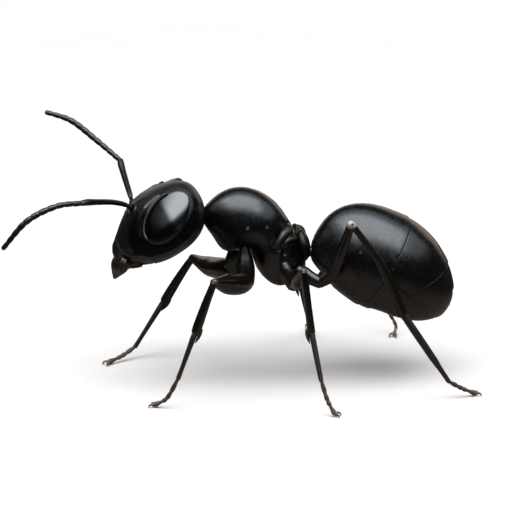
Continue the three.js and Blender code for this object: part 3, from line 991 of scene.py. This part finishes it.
def bristles(roots, lean, sway, lengths, width, uv):
    """Many curved three-sided hairs as one part. Each starts at its root, sets off along lean
    and bends to sway with the square of its run, thinning to a point."""
    count = len(roots)
    share = RINGS[None, :, None]
    long_ = lengths[:, None, None]
    lean, sway = unit(lean), unit(sway)
    u = unit(np.cross(lean, sway + 1e-3))
    v = np.cross(lean, u)

    def line(f):
        return roots[:, None] + long_ * (lean[:, None] * f + BEND * sway[:, None] * f * f)

    turns = angles(3)[:, None]
    thin = (width * (1 - share) ** 0.7)[..., None]
    corner = u[:, None, None] * np.cos(turns) + v[:, None, None] * np.sin(turns)
    rings = line(share)[:, :, None] + thin * corner
    tips = line(np.ones((1, 1, 1)))
    verts = np.concatenate([rings.reshape(count, TIP, 3), tips], 1)
    j = np.arange(3)
    k = (j + 1) % 3
    quads = np.concatenate([np.stack([r * 3 + j, r * 3 + k, r * 3 + 3 + k, r * 3 + 3 + j], -1)
                            for r in (0, 1)])
    tris = np.concatenate([np.stack([TIP - 3 + j, TIP - 3 + k, TIP + 0 * j], -1), [[2, 1, 0]]])
    start = np.arange(count)[:, None, None] * (TIP + 1)
    run = np.append(np.repeat(RINGS, 3), 1.0)
    turn_ = np.append(np.tile(j / 3, 3), 0.5)
    patch = (np.stack([turn_, run], -1) - 0.5) * UV_PATCH
    marks = np.zeros((count, TIP + 1, 3))
    marks[..., 0] = run
    return outward({
        "verts": verts.reshape(-1, 3),
        "faces": [(quads + start).reshape(-1, 4), (tris + start).reshape(-1, 3)],
        "marks": marks.reshape(-1, 3),
        "uv": (uv[:, None] + patch).reshape(-1, 2),
    })


def coat(form, rng, count, low, high, lift, length, width, sink=0.0, keep=None):
    """Bristles scattered over a form between two places, leaning to the tail."""
    x = rng.uniform(low, high, count)
    a = rng.uniform(0, 2 * np.pi, count)
    swing = rng.normal(0, 0.25, count)
    size = length * rng.uniform(*LENGTHS, count)
    p, n = trunk(form, x, a), trunk_normal(form, x, a)
    if keep is not None:
        good = keep(p)
        x, a, swing, size, p, n = (v[good] for v in (x, a, swing, size, p, n))
    h = 1e-3
    back = unit(trunk(form, np.clip(x + h, -1, 1), a) - trunk(form, np.clip(x - h, -1, 1), a))
    lie = unit(back + swing[:, None] * np.cross(n, back))
    uv = np.stack([0.01 + 0.98 * a / (2 * np.pi), 0.01 + 0.98 * (x + 1) / 2], -1)
    roots = place(form, p - n * (0.004 + sink))
    lean = turn(form, unit(n * lift + lie * (1 - lift)))
    return bristles(roots, lean, turn(form, lie), size, width, uv)


def limb_coat(way, radii, rng, count, lift, length, width, cell):
    """Bristles round a limb, leaning to its tip. `cell` is its square in the bake map."""
    way = np.asarray(way, float)
    s = rng.uniform(0.04, 0.97, count)
    a = rng.uniform(0, 2 * np.pi, count)
    size = length * rng.uniform(*LENGTHS, count)
    spot = on_way(way, s)
    ahead = unit(way[-1] - way[0]) + 0 * spot
    ref = unit(np.cross(ahead, (0.3, 0.5, 0.8)))
    n = ref * np.cos(a)[:, None] + np.cross(ahead, ref) * np.sin(a)[:, None]
    r = 0.82 * blend(radii, 2 * s - 1)[:, None]
    corner = np.array([cell % UV_GRID, cell // UV_GRID])
    uv = (corner + np.stack([0.08 + 0.84 * a / (2 * np.pi), 0.08 + 0.84 * s], -1)) / UV_GRID
    return bristles(spot + n * r, n * lift + ahead * (1 - lift), ahead, size, width, uv)


# ---- materials

FLOAT, VECTOR, COLOUR = "NodeSocketFloat", "NodeSocketVector", "NodeSocketColor"
WHITE = (1, 1, 1, 1)
DUST = (0.1, 0.09, 0.08, 1)

# The four kinds of cuticle. Dark, brown and tan name the colour properties of the plain shell,
# its thin edges and its pale spots; gloss is the roughness; depth is the relief's, in mm.
CUTICLES = {
    "shell_black": {"dark": "shell", "brown": "brown", "tan": "tan", "gloss": 0.25,
                    "cells": 0.12, "cell_scale": 26.0, "pricks": 0.5, "waves": 0.5,
                    "depth": 0.0016, "dust": 0.4},
    "shell_satin": {"dark": "head", "brown": "brown", "tan": "tan", "gloss": 0.26,
                    "cells": 0.15, "cell_scale": 26.0, "pricks": 0.6, "waves": 0.6,
                    "depth": 0.0018, "dust": 0.3},
    "limb_black": {"dark": "limb", "brown": "brown", "tan": "knob", "gloss": 0.22,
                   "cells": 0.15, "cell_scale": 30.0, "pricks": 0.4, "waves": 0.5,
                   "depth": 0.0016, "dust": 0.2},
    "foot_brown": {"dark": "limb", "brown": "claw", "tan": "tan", "gloss": 0.34,
                   "cells": 0.3, "cell_scale": 34.0, "pricks": 0.5, "waves": 0.6,
                   "depth": 0.002, "dust": 0.2},
}


def feed(tree, node, sockets):
    """Sets a node's inputs, by name or number, to values or to other nodes' outputs."""
    for key, value in sockets.items():
        if isinstance(value, bpy.types.NodeSocket):
            tree.links.new(value, node.inputs[key])
        else:
            node.inputs[key].default_value = value


def wire(tree, kind, sockets=None, **settings):
    """Adds a node with its own settings and its inputs."""
    node = tree.nodes.new(kind)
    for name, value in settings.items():
        setattr(node, name, value)
    feed(tree, node, sockets or {})
    return node


def calc(tree, operation, a, b, clamp=False):
    """The result of one arithmetic operation on two values."""
    return wire(tree, "ShaderNodeMath", {0: a, 1: b}, operation=operation,
                use_clamp=clamp).outputs[0]


def times(tree, a, b, clamp=False):
    """The product of two values."""
    return calc(tree, "MULTIPLY", a, b, clamp)


def plus(tree, a, b, clamp=False):
    """The sum of two values."""
    return calc(tree, "ADD", a, b, clamp)


def noise_at(tree, at, scale, **sockets):
    """A smooth random value."""
    sockets = {"Vector": at, "Scale": scale, **sockets}
    return wire(tree, "ShaderNodeTexNoise", sockets).outputs["Fac"]


def cells_at(tree, at, scale, feature="F1", **sockets):
    """The outputs of a texture of cells."""
    sockets = {"Vector": at, "Scale": scale, **sockets}
    return wire(tree, "ShaderNodeTexVoronoi", sockets, feature=feature).outputs


def spread(tree, value, low, high, out_low=0.0, out_high=1.0):
    """A value mapped smoothly from one range to another."""
    sockets = {"Value": value, "From Min": low, "From Max": high, "To Min": out_low,
               "To Max": out_high}
    return wire(tree, "ShaderNodeMapRange", sockets, interpolation_type="SMOOTHSTEP").outputs[0]


# A mix node's sockets for colours, by number, because its other kinds share their names.
MIX_FACTOR, MIX_A, MIX_B, MIX_RESULT = 0, 6, 7, 2


def mixed(tree, factor, a, b):
    """A colour between a and b."""
    sockets = {MIX_FACTOR: factor, MIX_A: a, MIX_B: b}
    return wire(tree, "ShaderNodeMix", sockets, data_type="RGBA").outputs[MIX_RESULT]


def channels(tree, colour):
    """The outputs Red, Green and Blue of a colour."""
    return wire(tree, "ShaderNodeSeparateColor", {"Color": colour}).outputs


def own_marks(tree):
    """The attribute that each mesh carries: brownness, paleness and dullness."""
    return wire(tree, "ShaderNodeAttribute", attribute_name="marks").outputs["Color"]


def millimetres(tree):
    """Object coordinates in millimetres."""
    spot = wire(tree, "ShaderNodeTexCoord").outputs["Object"]
    return wire(tree, "ShaderNodeMapping", {"Vector": spot, "Scale": (1000,) * 3}).outputs[0]


def new_group(name, inputs, outputs):
    """A node group: its tree, its input node and its output node."""
    tree = bpy.data.node_groups.new(name, "ShaderNodeTree")
    for label, kind, value in inputs:
        socket = tree.interface.new_socket(label, in_out="INPUT", socket_type=kind)
        if value is not None:
            socket.default_value = value
    for label, kind in outputs:
        tree.interface.new_socket(label, in_out="OUTPUT", socket_type=kind)
    return tree, tree.nodes.new("NodeGroupInput"), tree.nodes.new("NodeGroupOutput")


def relief_group(name):
    """Height of the cuticle: a fine mesh of cells, sparse pin pricks and slow waves."""
    tree, given, result = new_group(
        name,
        [("Place", VECTOR, None), ("Cells", FLOAT, 0.3), ("Cell scale", FLOAT, 26.0),
         ("Pricks", FLOAT, 0.5), ("Waves", FLOAT, 0.5)],
        [("Height", FLOAT), ("Grain", FLOAT)],
    )
    given = given.outputs
    at = given["Place"]
    cells = cells_at(tree, at, given["Cell scale"], "DISTANCE_TO_EDGE")["Distance"]
    mesh = spread(tree, cells, 0.0, 0.12)
    holes = spread(tree, cells_at(tree, at, 4.5)["Distance"], 0.05, 0.11)
    fine = noise_at(tree, at, 6.0, Detail=1.0)
    waves = plus(tree, times(tree, noise_at(tree, at, 1.6, Detail=2.0), 6.0), fine)
    height = plus(tree, times(tree, mesh, given["Cells"]), times(tree, holes, given["Pricks"]))
    height = plus(tree, height, times(tree, waves, given["Waves"]))
    feed(tree, result, {"Height": height, "Grain": fine})
    return tree


def tint_group(name):
    """Colour of the cuticle: near black, browner where it is thin, tan at pale spots, with a
    slow mottle and sparse specks of dust."""
    tree, given, result = new_group(
        name,
        [("Place", VECTOR, None), ("Marks", COLOUR, None), ("Dark", COLOUR, None),
         ("Brown", COLOUR, None), ("Tan", COLOUR, None), ("Dust", FLOAT, 0.5)],
        [("Color", COLOUR), ("Specks", FLOAT), ("Dull", FLOAT)],
    )
    given = given.outputs
    marks = channels(tree, given["Marks"])
    noise = noise_at(tree, given["Place"], 2.2, Detail=5.0, Roughness=0.6)
    mottle = spread(tree, noise, 0.3, 0.7, 0.6, 1.15)
    brown = times(tree, marks["Red"], mottle, clamp=True)
    pale = times(tree, marks["Green"], mottle, clamp=True)
    colour = mixed(tree, brown, given["Dark"], given["Brown"])
    colour = mixed(tree, pale, colour, given["Tan"])
    dots = cells_at(tree, given["Place"], 2.6)
    rare = spread(tree, channels(tree, dots["Color"])["Red"], 0.72, 0.76)
    ragged = plus(tree, dots["Distance"], times(tree, noise, 0.06))
    spots = calc(tree, "SUBTRACT", 1.0, spread(tree, ragged, 0.05, 0.085))
    specks = times(tree, times(tree, spots, rare), given["Dust"])
    rough_and_shade = calc(tree, "MAXIMUM", marks["Blue"], 0.0)
    feed(tree, result, {"Color": mixed(tree, specks, colour, DUST), "Specks": specks,
                        "Dull": rough_and_shade})
    return tree


def placed_group(tree, name, build, sockets):
    """A node group in a tree, built the first time it is asked for."""
    group = bpy.data.node_groups.get(name) or build(name)
    return wire(tree, "ShaderNodeGroup", node_tree=group, sockets=sockets).outputs


def new_material(name):
    """A material, its tree and its shader."""
    material = bpy.data.materials.new(name)
    material.use_nodes = True
    tree = material.node_tree
    tree.nodes.clear()
    shader = wire(tree, "ShaderNodeBsdfPrincipled")
    wire(tree, "ShaderNodeOutputMaterial", {"Surface": shader.outputs[0]})
    return material, tree, shader


def bumped(tree, height, depth):
    """Normals from a height in shares of a depth in mm."""
    return wire(tree, "ShaderNodeBump", {"Height": height, "Strength": 1.0,
                                         "Distance": depth * MM}).outputs[0]


def cuticle(name, colours):
    """Hard shell: near-black, glossy, with a fine relief and browner thin edges. A third mark
    above 0 makes it rougher; one below 0 takes its shine away, as painted shade."""
    found = bpy.data.materials.get(name)
    if found:
        return found
    kind = CUTICLES[name]
    material, tree, shader = new_material(name)
    place_, marks = millimetres(tree), own_marks(tree)
    dark, brown, tan = ((*getattr(colours, kind[key]), 1) for key in ("dark", "brown", "tan"))
    tint = placed_group(tree, "cuticle_tint", tint_group, {
        "Place": place_, "Marks": marks, "Dark": dark, "Brown": brown, "Tan": tan,
        "Dust": kind["dust"]})
    relief_ = placed_group(tree, "cuticle_relief", relief_group, {
        "Place": place_, "Cells": kind["cells"], "Cell scale": kind["cell_scale"],
        "Pricks": kind["pricks"], "Waves": kind["waves"]})
    gloss = kind["gloss"]
    rough = spread(tree, relief_["Grain"], 0.3, 0.7, gloss - 0.03, gloss + 0.05)
    rough = plus(tree, rough, times(tree, tint["Dull"], 0.1))
    rough = plus(tree, rough, times(tree, tint["Specks"], 0.3), clamp=True)
    # Painted shade: a third mark below 0 lowers the specular level, so those places look dark.
    shine = spread(tree, channels(tree, marks)["Blue"], -0.9, 0.0, 0.06, 0.5)
    feed(tree, shader, {
        "Base Color": tint["Color"], "Roughness": rough, "IOR": 1.52,
        "Specular IOR Level": shine,
        "Normal": bumped(tree, relief_["Height"], kind["depth"])})
    return material


def eye_material(colour):
    """The compound eye: black and glassy, under a close mesh of facets. The third mark takes away
    its shine: painted shade over the eye's front end."""
    material, tree, shader = new_material("eye_facets")
    place_ = millimetres(tree)
    facets = cells_at(tree, place_, 30.0, "SMOOTH_F1", Randomness=0.25)["Distance"]
    slow = noise_at(tree, place_, 1.2, Detail=2.0)
    height = plus(tree, times(tree, facets, -0.6), times(tree, slow, 5.0))
    deep = spread(tree, facets, 0.2, 0.6)
    feed(tree, shader, {
        "Base Color": mixed(tree, deep, (*colour, 1), (*(c * 0.5 for c in colour), 1)),
        "Roughness": spread(tree, slow, 0.3, 0.7, 0.22, 0.27),
        # Painted shade: the marked front end of the eye loses its shine.
        "Specular IOR Level": spread(tree, channels(tree, own_marks(tree))["Blue"],
                                     0.0, 1.0, 0.5, 0.05),
        "Normal": bumped(tree, height, 0.0025), "IOR": 1.78})
    return material


def bristle_material(dark, pale):
    """Hairs: dark at the root and golden brown toward the tip."""
    material, tree, shader = new_material("bristle")
    run = channels(tree, own_marks(tree))["Red"]
    noise = noise_at(tree, millimetres(tree), 3.0)
    share = times(tree, run, spread(tree, noise, 0.3, 0.7, 0.5, 1.2))
    feed(tree, shader, {"Base Color": mixed(tree, share, (*dark, 1), (*pale, 1)),
                        "Roughness": spread(tree, noise, 0.2, 0.8, 0.35, 0.5)})
    return material


FLOOR_GLOW = (25.0, 75.0)  # mm from the middle, where the floor starts and ends to turn white
FLOOR_BOUNCE = (8.0, 20.0)  # mm, where the light that it throws on the ant's underside fades
BOUNCE = (0.27, 0.24, 0.215)  # that light near the ant, as shares of the floor's colour
FAR_BOUNCE = (0.006, 0.006, 0.006, 1)
ROOM = 0.03  # strength of the room's light on the ant, where the camera sees 1


def floor_material(colour):
    """Plain pale floor: matte, turning into an even white glow far from the ant. The light it
    throws back is less than it looks, so that the ant's underside stays dark."""
    material, tree, shader = new_material("floor_pale")
    place_ = millimetres(tree)
    distance = wire(tree, "ShaderNodeVectorMath", {0: place_},
                    operation="LENGTH").outputs["Value"]
    noise = noise_at(tree, place_, 0.4)
    seen = wire(tree, "ShaderNodeLightPath").outputs["Is Camera Ray"]
    bright = (*(c * share for c, share in zip(colour, BOUNCE)), 1)
    bounce = mixed(tree, spread(tree, distance, *FLOOR_BOUNCE), bright, FAR_BOUNCE)
    tone = wire(tree, "ShaderNodeVectorMath",
                {0: mixed(tree, seen, bounce, (*colour, 1)),
                 "Scale": spread(tree, noise, 0.3, 0.7, 0.99, 1.01)}, operation="SCALE")
    feed(tree, shader, {"Base Color": tone.outputs[0], "Roughness": 0.9,
                        "Specular IOR Level": 0.1})
    glow = wire(tree, "ShaderNodeEmission",
                {"Color": WHITE, "Strength": spread(tree, seen, 0.0, 1.0, ROOM, 1.0)})
    both = wire(tree, "ShaderNodeMixShader", {0: spread(tree, distance, *FLOOR_GLOW),
                                              1: shader.outputs[0], 2: glow.outputs[0]})
    output = next(n for n in tree.nodes if n.type == "OUTPUT_MATERIAL")
    feed(tree, output, {"Surface": both.outputs[0]})
    return material


# ---- settings


def swatch(name, description, value):
    """A colour property."""
    return bpy.props.FloatVectorProperty(name=name, description=description, subtype="COLOR",
                                         size=3, min=0, max=1, default=value)


def number(name, description, value, low, high, **kind):
    """A number property."""
    return bpy.props.FloatProperty(name=name, description=description, default=value,
                                   min=low, max=high, **kind)


class AntSizes(bpy.types.PropertyGroup):
    """Sizes of limbs, seams and bristles."""

    feeler: number("Feeler radius", "Radius of the feelers at their middle, in mm",
                   0.108, 0.03, 0.26)
    foot: number("Foot thickness", "Thickness of the feet as a share of their profile",
                 1.0, 0.5, 2.0, subtype="FACTOR")
    seam: number("Seam step", "How far a plate swells over the next one, in mm",
                 0.022, 0, 0.1)
    bristle: number("Bristle length", "Length of a body bristle, in mm", 0.13, 0.02, 1.0)
    bristle_width: number("Bristle radius", "Radius of a bristle at its root, in mm",
                          0.0028, 0.001, 0.05)


class AntColours(bpy.types.PropertyGroup):
    """Colours of the shell and limbs."""

    shell: swatch("Shell", "Cuticle of the thorax and gaster", (0.0012, 0.0011, 0.001))
    head: swatch("Head", "Satin cuticle of the head", (0.0022, 0.0019, 0.0017))
    limb: swatch("Limbs", "Cuticle of the legs and feelers", (0.0022, 0.0016, 0.001))
    eye: swatch("Eyes", "Compound eyes", (0.0012, 0.0012, 0.0013))
    brown: swatch("Thin edges", "Cuticle where it is thin", (0.018, 0.009, 0.004))
    claw: swatch("Claws", "Toes and claws", (0.05, 0.024, 0.013))
    tan: swatch("Pale spots", "Membranes and pale knobs", (0.19, 0.13, 0.085))
    knob: swatch("Knee knob", "Pale worn knob of the near hind knee", (0.42, 0.35, 0.3))
    bristle: swatch("Bristles", "Bristle tips", (0.03, 0.018, 0.01))
    floor: swatch("Floor", "Plain pale floor", (0.63, 0.58, 0.54))


class AntStage(bpy.types.PropertyGroup):
    """Lights and camera."""

    key: number("Overhead light", "Radiance of the soft light overhead", 6.55, 0, 50)
    surround: number("Surround light", "Radiance of the wider, weaker light overhead",
                     1.4, 0, 50)
    back: number("Back light", "Radiance of the low panel behind the ant", 0.95, 0, 50)
    height: number("Light height", "Height of the overhead light above the floor",
                   0.3, 0.05, 5, unit="LENGTH")
    distance: number("Camera distance", "Distance from the camera to what it looks at",
                     0.12, 0.02, 5, unit="LENGTH")
    azimuth: number("Camera azimuth", "Turn of the camera about the upright axis",
                    math.radians(-6), -math.pi, math.pi, subtype="ANGLE", unit="ROTATION")
    elevation: number("Camera elevation", "How far above the level the camera stands",
                      math.radians(16), 0, math.pi / 2, subtype="ANGLE", unit="ROTATION")
    lens: number("Lens", "Focal length for a 36 mm wide sensor, in mm", 231.2, 10, 1000)


# ---- operators

SIDES = {"left": NEAR, "right": FAR}


class ANT_OT_head(bpy.types.Operator):
    """Build the head"""

    bl_idname = "ant.build_head"
    bl_label = "Head"

    def execute(self, context):
        material = cuticle("shell_satin", context.scene.ant_colours)
        make_piece("head_capsule", in_body(HEAD, *head_points()), material, ["head"])
        return {"FINISHED"}


class ANT_OT_eyes(bpy.types.Operator):
    """Build both eyes"""

    bl_idname = "ant.build_eyes"
    bl_label = "Eyes"

    def execute(self, context):
        material = eye_material(context.scene.ant_colours.eye)
        for name, side in SIDES.items():
            make_piece(f"eye_dome_{name}", in_body(HEAD, *eye_points(side)), material,
                       [f"eye_{name}"])
        return {"FINISHED"}


class ANT_OT_jaws(bpy.types.Operator):
    """Build the jaws and the mouthparts"""

    bl_idname = "ant.build_jaws"
    bl_label = "Jaws"

    def execute(self, context):
        material = cuticle("limb_black", context.scene.ant_colours)
        for name, side in SIDES.items():
            make_piece(f"jaw_{name}", in_body(JAWS, *jaw_points(side)), material,
                       [f"mandible_{name}"])
        make_piece("mouth_palps", mouth_part(), material, ["mouthparts"])
        return {"FINISHED"}


class ANT_OT_feelers(bpy.types.Operator):
    """Build both feelers"""

    bl_idname = "ant.build_feelers"
    bl_label = "Feelers"

    def execute(self, context):
        material = cuticle("limb_black", context.scene.ant_colours)
        thick = context.scene.ant_sizes.feeler
        for side, ways in FEELERS.items():
            make_piece(f"feeler_scape_{side}", scape_part(ways["scape"], thick), material,
                       [f"scape_{side}"])
            make_piece(f"feeler_whip_{side}", whip_part(ways["whip"], thick), material,
                       [f"flagellum_{side}"])
        return {"FINISHED"}


THORAX_COLS, GASTER_COLS = 260, 300  # points round the trunk
# Plates of the thorax: name, front seam, rear seam, rows of the mesh, swell of the rear edge.
THORAX_PLATES = (
    ("pronotum", None, PRONOTUM_SEAM, 150, 0.0),
    ("mesothorax", PRONOTUM_SEAM, PROPODEUM_SEAM, 110, 0.01),
    ("propodeum", PROPODEUM_SEAM, None, 140, 0.0),
)
GASTER_ROWS = (150, 90, 70, 80)


class ANT_OT_trunk(bpy.types.Operator):
    """Build the plates of the thorax, the waist and the gaster"""

    bl_idname = "ant.build_trunk"
    bl_label = "Thorax, waist and gaster"

    def execute(self, context):
        material = cuticle("shell_black", context.scene.ant_colours)
        for name, front, rear, rows, swell in THORAX_PLATES:
            grid = plate(THORAX, front, rear, rows, THORAX_COLS, thorax_shape, lip=0.004,
                         step=swell, gap=0.001, brim=0.0)
            make_piece(f"{name}_plate", in_body(THORAX, *grid), material, [name])
        make_piece("waist_scale", waist_part(), material, ["petiole"])
        ends = (None, *GASTER_SEAMS, None)
        for i, rows in enumerate(GASTER_ROWS):
            grid = plate(GASTER, ends[i], ends[i + 1], rows, GASTER_COLS, gaster_shape,
                         lip=0.03, step=context.scene.ant_sizes.seam, gap=0.006)
            make_piece(f"tergite_{i + 1}", in_body(GASTER, *grid), material,
                       [f"gaster_plate_{i + 1}"])
        return {"FINISHED"}


class ANT_OT_legs(bpy.types.Operator):
    """Build the six legs with their claws"""

    bl_idname = "ant.build_legs"
    bl_label = "Legs"

    def execute(self, context):
        colours = context.scene.ant_colours
        limb, foot = cuticle("limb_black", colours), cuticle("foot_brown", colours)
        for name in LEGS:
            parts = leg_parts(name, context.scene.ant_sizes.foot)
            for segment in ("coxa", "femur", "tibia"):
                make_piece(f"leg_{segment}_{name}", join(parts[segment]), limb,
                           [f"{segment}_{name}"])
            for segment in ("basitarsus", "toes"):
                make_piece(f"leg_{segment}_{name}", join(parts[segment]), foot,
                           [f"{segment}_{name}"])
            make_piece(f"leg_claws_{name}", join(parts["claws"]), foot)
        return {"FINISHED"}


CLEAR = 1.12  # how far from an eye's middle bristles start, in eye radii
SNOUT = -0.9  # the front of the head ends at this x


def off_eye(p):
    """Which places of the head lie clear of the eyes."""
    return np.linalg.norm(to_eye(p * to_left(p)), axis=-1) > CLEAR


def snout(p):
    """Which of those lie on the front of the head."""
    return off_eye(p) & (p[..., 0] < SNOUT)


# Bristles of the trunk: piece, form, how many, from and to along the form, lift, length as a
# share of the setting, depth of the roots, and which places bear them.
TRUNK_COATS = (
    ("head", HEAD, 300, -0.85, 0.9, 0.1, 0.6, 0.0, off_eye),
    ("head", HEAD, 60, -0.95, -0.45, 0.5, 1.0, 0.06, snout),
    ("thorax", THORAX, 300, -0.85, 0.9, 0.1, 0.6, 0.0, None),
    ("gaster", GASTER, 500, -0.92, 0.93, 0.08, 0.6, 0.0, None),
    ("gaster", GASTER, 40, 0.75, 0.97, 0.4, 1.0, 0.0, None),
)
# Bristles of the legs: the stretch's first place, its name, radii, how many, lift and length.
LEG_COATS = (
    (1, "femur", FEMUR, 30, 0.2, 0.07),
    (2, "tibia", TIBIA, 60, 0.25, 0.09),
    (3, "foot", BASITARSUS, 50, 0.3, 0.08),
    (4, "toes", dict.fromkeys(TIBIA, (0.07, 0.08, 0.09)), 40, 0.35, 0.07),
)
# Bristles of the feelers: part, how many and length; then radii, lift and their thinness.
FEELER_COATS = (("scape", 80, 0.07), ("whip", 420, 0.045))
FEELER_RADII, FEELER_LIFT, FEELER_THIN = (0.09, 0.1, 0.09), 0.4, 0.8
SEED = 11


class ANT_OT_bristles(bpy.types.Operator):
    """Build the sparse bristles of the body, legs and feelers"""

    bl_idname = "ant.build_bristles"
    bl_label = "Bristles"

    def execute(self, context):
        colours, sizes = context.scene.ant_colours, context.scene.ant_sizes
        material = bristle_material(colours.limb, colours.bristle)
        rng = np.random.default_rng(SEED)
        thin = sizes.bristle_width
        body, legs, feelers = {}, [], []
        for piece, form, count, low, high, lift, share, sink, keep in TRUNK_COATS:
            hairs = coat(form, rng, count, low, high, lift, share * sizes.bristle, thin, sink,
                         keep)
            body.setdefault(piece, []).append(hairs)
        for name, places in LEGS.items():
            for i, part, radii, count, lift, length in LEG_COATS:
                way = (places[i], *BENDS.get(name, {}).get(part, ()), places[i + 1])
                legs.append(limb_coat(way, radii[name.split("_")[1]], rng, count, lift, length,
                                      thin, len(legs)))
        for ways in FEELERS.values():
            for part, count, length in FEELER_COATS:
                feelers.append(limb_coat(ways[part], FEELER_RADII, rng, count, FEELER_LIFT,
                                         length, FEELER_THIN * thin, len(legs + feelers)))
        for piece, parts in body.items():
            make_piece(f"bristles_{piece}", join(parts), material)
        make_piece("bristles_legs", join(legs), material)
        make_piece("bristles_feelers", join(feelers), material)
        return {"FINISHED"}


# Panels overhead, in shares of their height: middle x and y, size along x and y.
KEY_PANEL = (-0.07, -0.46, 1.58, 1.02)
SURROUND_PANEL = (0.35, -0.475, 3.3, 1.75)
BACK_PANEL = ((0.06, 0.3, 0.08), (0.5, 0.16), (0, 0, 0.005))  # middle, size, aim, in metres
COOL, WARM = (0.86, 0.93, 1.0), (1.0, 0.85, 0.72)  # colours of the lights
FLOOR_RINGS = (0.02, 0.05, 0.12, 0.3)  # radii of the floor's rings, in metres
FLOOR_SIDES = 96
AIM = (0, 0, 4.78)  # what the camera looks at, in the body's frame
SENSOR = 36  # width of the camera's sensor, in mm
CLIP = (0.005, 5)  # nearest and farthest distance that the camera sees, in metres


def add_panel(name, middle, size, radiance, tone, toward):
    """A soft light: a rectangle that sends the same radiance from every place on it."""
    light = bpy.data.lights.new(name, "AREA")
    light.color = tone
    light.shape = "RECTANGLE"
    light.size, light.size_y = size
    light.energy = radiance * math.pi * size[0] * size[1]
    panel = bpy.data.objects.new(name, light)
    panel.location = middle
    panel.rotation_euler = (Vector(toward) - Vector(middle)).to_track_quat("-Z", "Y").to_euler()
    panel.visible_camera = False
    bpy.context.scene.collection.objects.link(panel)


def add_floor(material):
    """The floor: a flat disc of rings about the origin, which is part of the stage."""
    a = angles(FLOOR_SIDES)
    ring = np.stack([np.cos(a), np.sin(a), 0 * a], -1)
    verts = np.vstack([[[0, 0, 0]], *(ring * r for r in FLOOR_RINGS)])
    j = np.arange(FLOOR_SIDES)
    k = (j + 1) % FLOOR_SIDES
    faces = np.stack([0 * j, 1 + j, 1 + k], -1).tolist()
    for i in range(len(FLOOR_RINGS) - 1):
        s = 1 + FLOOR_SIDES * i
        far = s + FLOOR_SIDES
        faces += np.stack([s + j, far + j, far + k, s + k], -1).tolist()
    mesh = bpy.data.meshes.new("floor")
    mesh.from_pydata(verts.tolist(), [], faces)
    mesh.materials.append(material)
    floor = bpy.data.objects.new("floor", mesh)
    bpy.context.scene.collection.objects.link(floor)


def add_room():
    """A dim even room, white to the camera."""
    world = bpy.data.worlds.new("studio")
    bpy.context.scene.world = world
    world.use_nodes = True
    tree = world.node_tree
    tree.nodes.clear()
    seen = wire(tree, "ShaderNodeLightPath").outputs["Is Camera Ray"]
    room, white = (wire(tree, "ShaderNodeBackground", {"Color": WHITE, "Strength": strength})
                   for strength in (ROOM, 1.0))
    both = wire(tree, "ShaderNodeMixShader", {0: seen, 1: room.outputs[0], 2: white.outputs[0]})
    wire(tree, "ShaderNodeOutputWorld", {"Surface": both.outputs[0]})


def add_camera(stage):
    """The camera, turned about what it looks at."""
    camera = bpy.data.cameras.new("camera")
    camera.lens, camera.sensor_width = stage.lens, SENSOR
    camera.clip_start, camera.clip_end = CLIP
    az, el = stage.azimuth, stage.elevation
    back = np.array((math.sin(az) * math.cos(el), -math.cos(az) * math.cos(el), math.sin(el)))
    eye = bpy.data.objects.new("camera", camera)
    eye.location = (np.array(AIM) + SHIFT) * MM + back * stage.distance
    eye.rotation_euler = Vector(-back).to_track_quat("-Z", "Y").to_euler()
    bpy.context.scene.collection.objects.link(eye)
    bpy.context.scene.camera = eye


class ANT_OT_stage(bpy.types.Operator):
    """Set up the pale floor, the soft lights and the camera"""

    bl_idname = "ant.build_stage"
    bl_label = "Stage"

    def execute(self, context):
        scene, stage = context.scene, context.scene.ant_stage
        add_floor(floor_material(tuple(scene.ant_colours.floor)))
        h = stage.height
        for name, (x, y, wide, deep), radiance in (
            ("light_overhead", KEY_PANEL, stage.key),
            ("light_surround", SURROUND_PANEL, stage.surround),
        ):
            add_panel(name, (x * h, y * h, h), (wide * h, deep * h), radiance, COOL,
                      (x * h, y * h, 0))
        middle, size, toward = BACK_PANEL
        add_panel("light_back", middle, size, stage.back, WARM, toward)
        add_room()
        add_camera(stage)
        scene.view_settings.view_transform = "Standard"
        return {"FINISHED"}


OPERATORS = (ANT_OT_stage, ANT_OT_head, ANT_OT_eyes, ANT_OT_jaws, ANT_OT_feelers, ANT_OT_trunk,
             ANT_OT_legs, ANT_OT_bristles)


class ANT_PT_panel(bpy.types.Panel):
    """The ant's sizes and colours, and a button for each group of pieces."""

    bl_idname = "ANT_PT_panel"
    bl_label = "Carpenter ant"
    bl_space_type = "VIEW_3D"
    bl_region_type = "UI"
    bl_category = "Ant"

    def draw(self, context):
        for group in (context.scene.ant_sizes, context.scene.ant_colours,
                      context.scene.ant_stage):
            box = self.layout.box()
            for name in group.__annotations__:
                box.prop(group, name)
        for operator in OPERATORS:
            self.layout.operator(operator.bl_idname)


GROUPS = {"ant_sizes": AntSizes, "ant_colours": AntColours, "ant_stage": AntStage}


def register():
    """Makes the settings, the operators and the panel known."""
    for kind in (*GROUPS.values(), *OPERATORS, ANT_PT_panel):
        bpy.utils.register_class(kind)
    for name, kind in GROUPS.items():
        setattr(bpy.types.Scene, name, bpy.props.PointerProperty(type=kind))


def unregister():
    """Takes them away again."""
    for name in GROUPS:
        delattr(bpy.types.Scene, name)
    for kind in (ANT_PT_panel, *reversed(OPERATORS), *GROUPS.values()):
        bpy.utils.unregister_class(kind)


def main():
    """Builds the stage and every piece."""
    register()
    for operator in OPERATORS:
        group, name = operator.bl_idname.split(".")
        getattr(getattr(bpy.ops, group), name)()


if __name__ == "__main__":
    main()
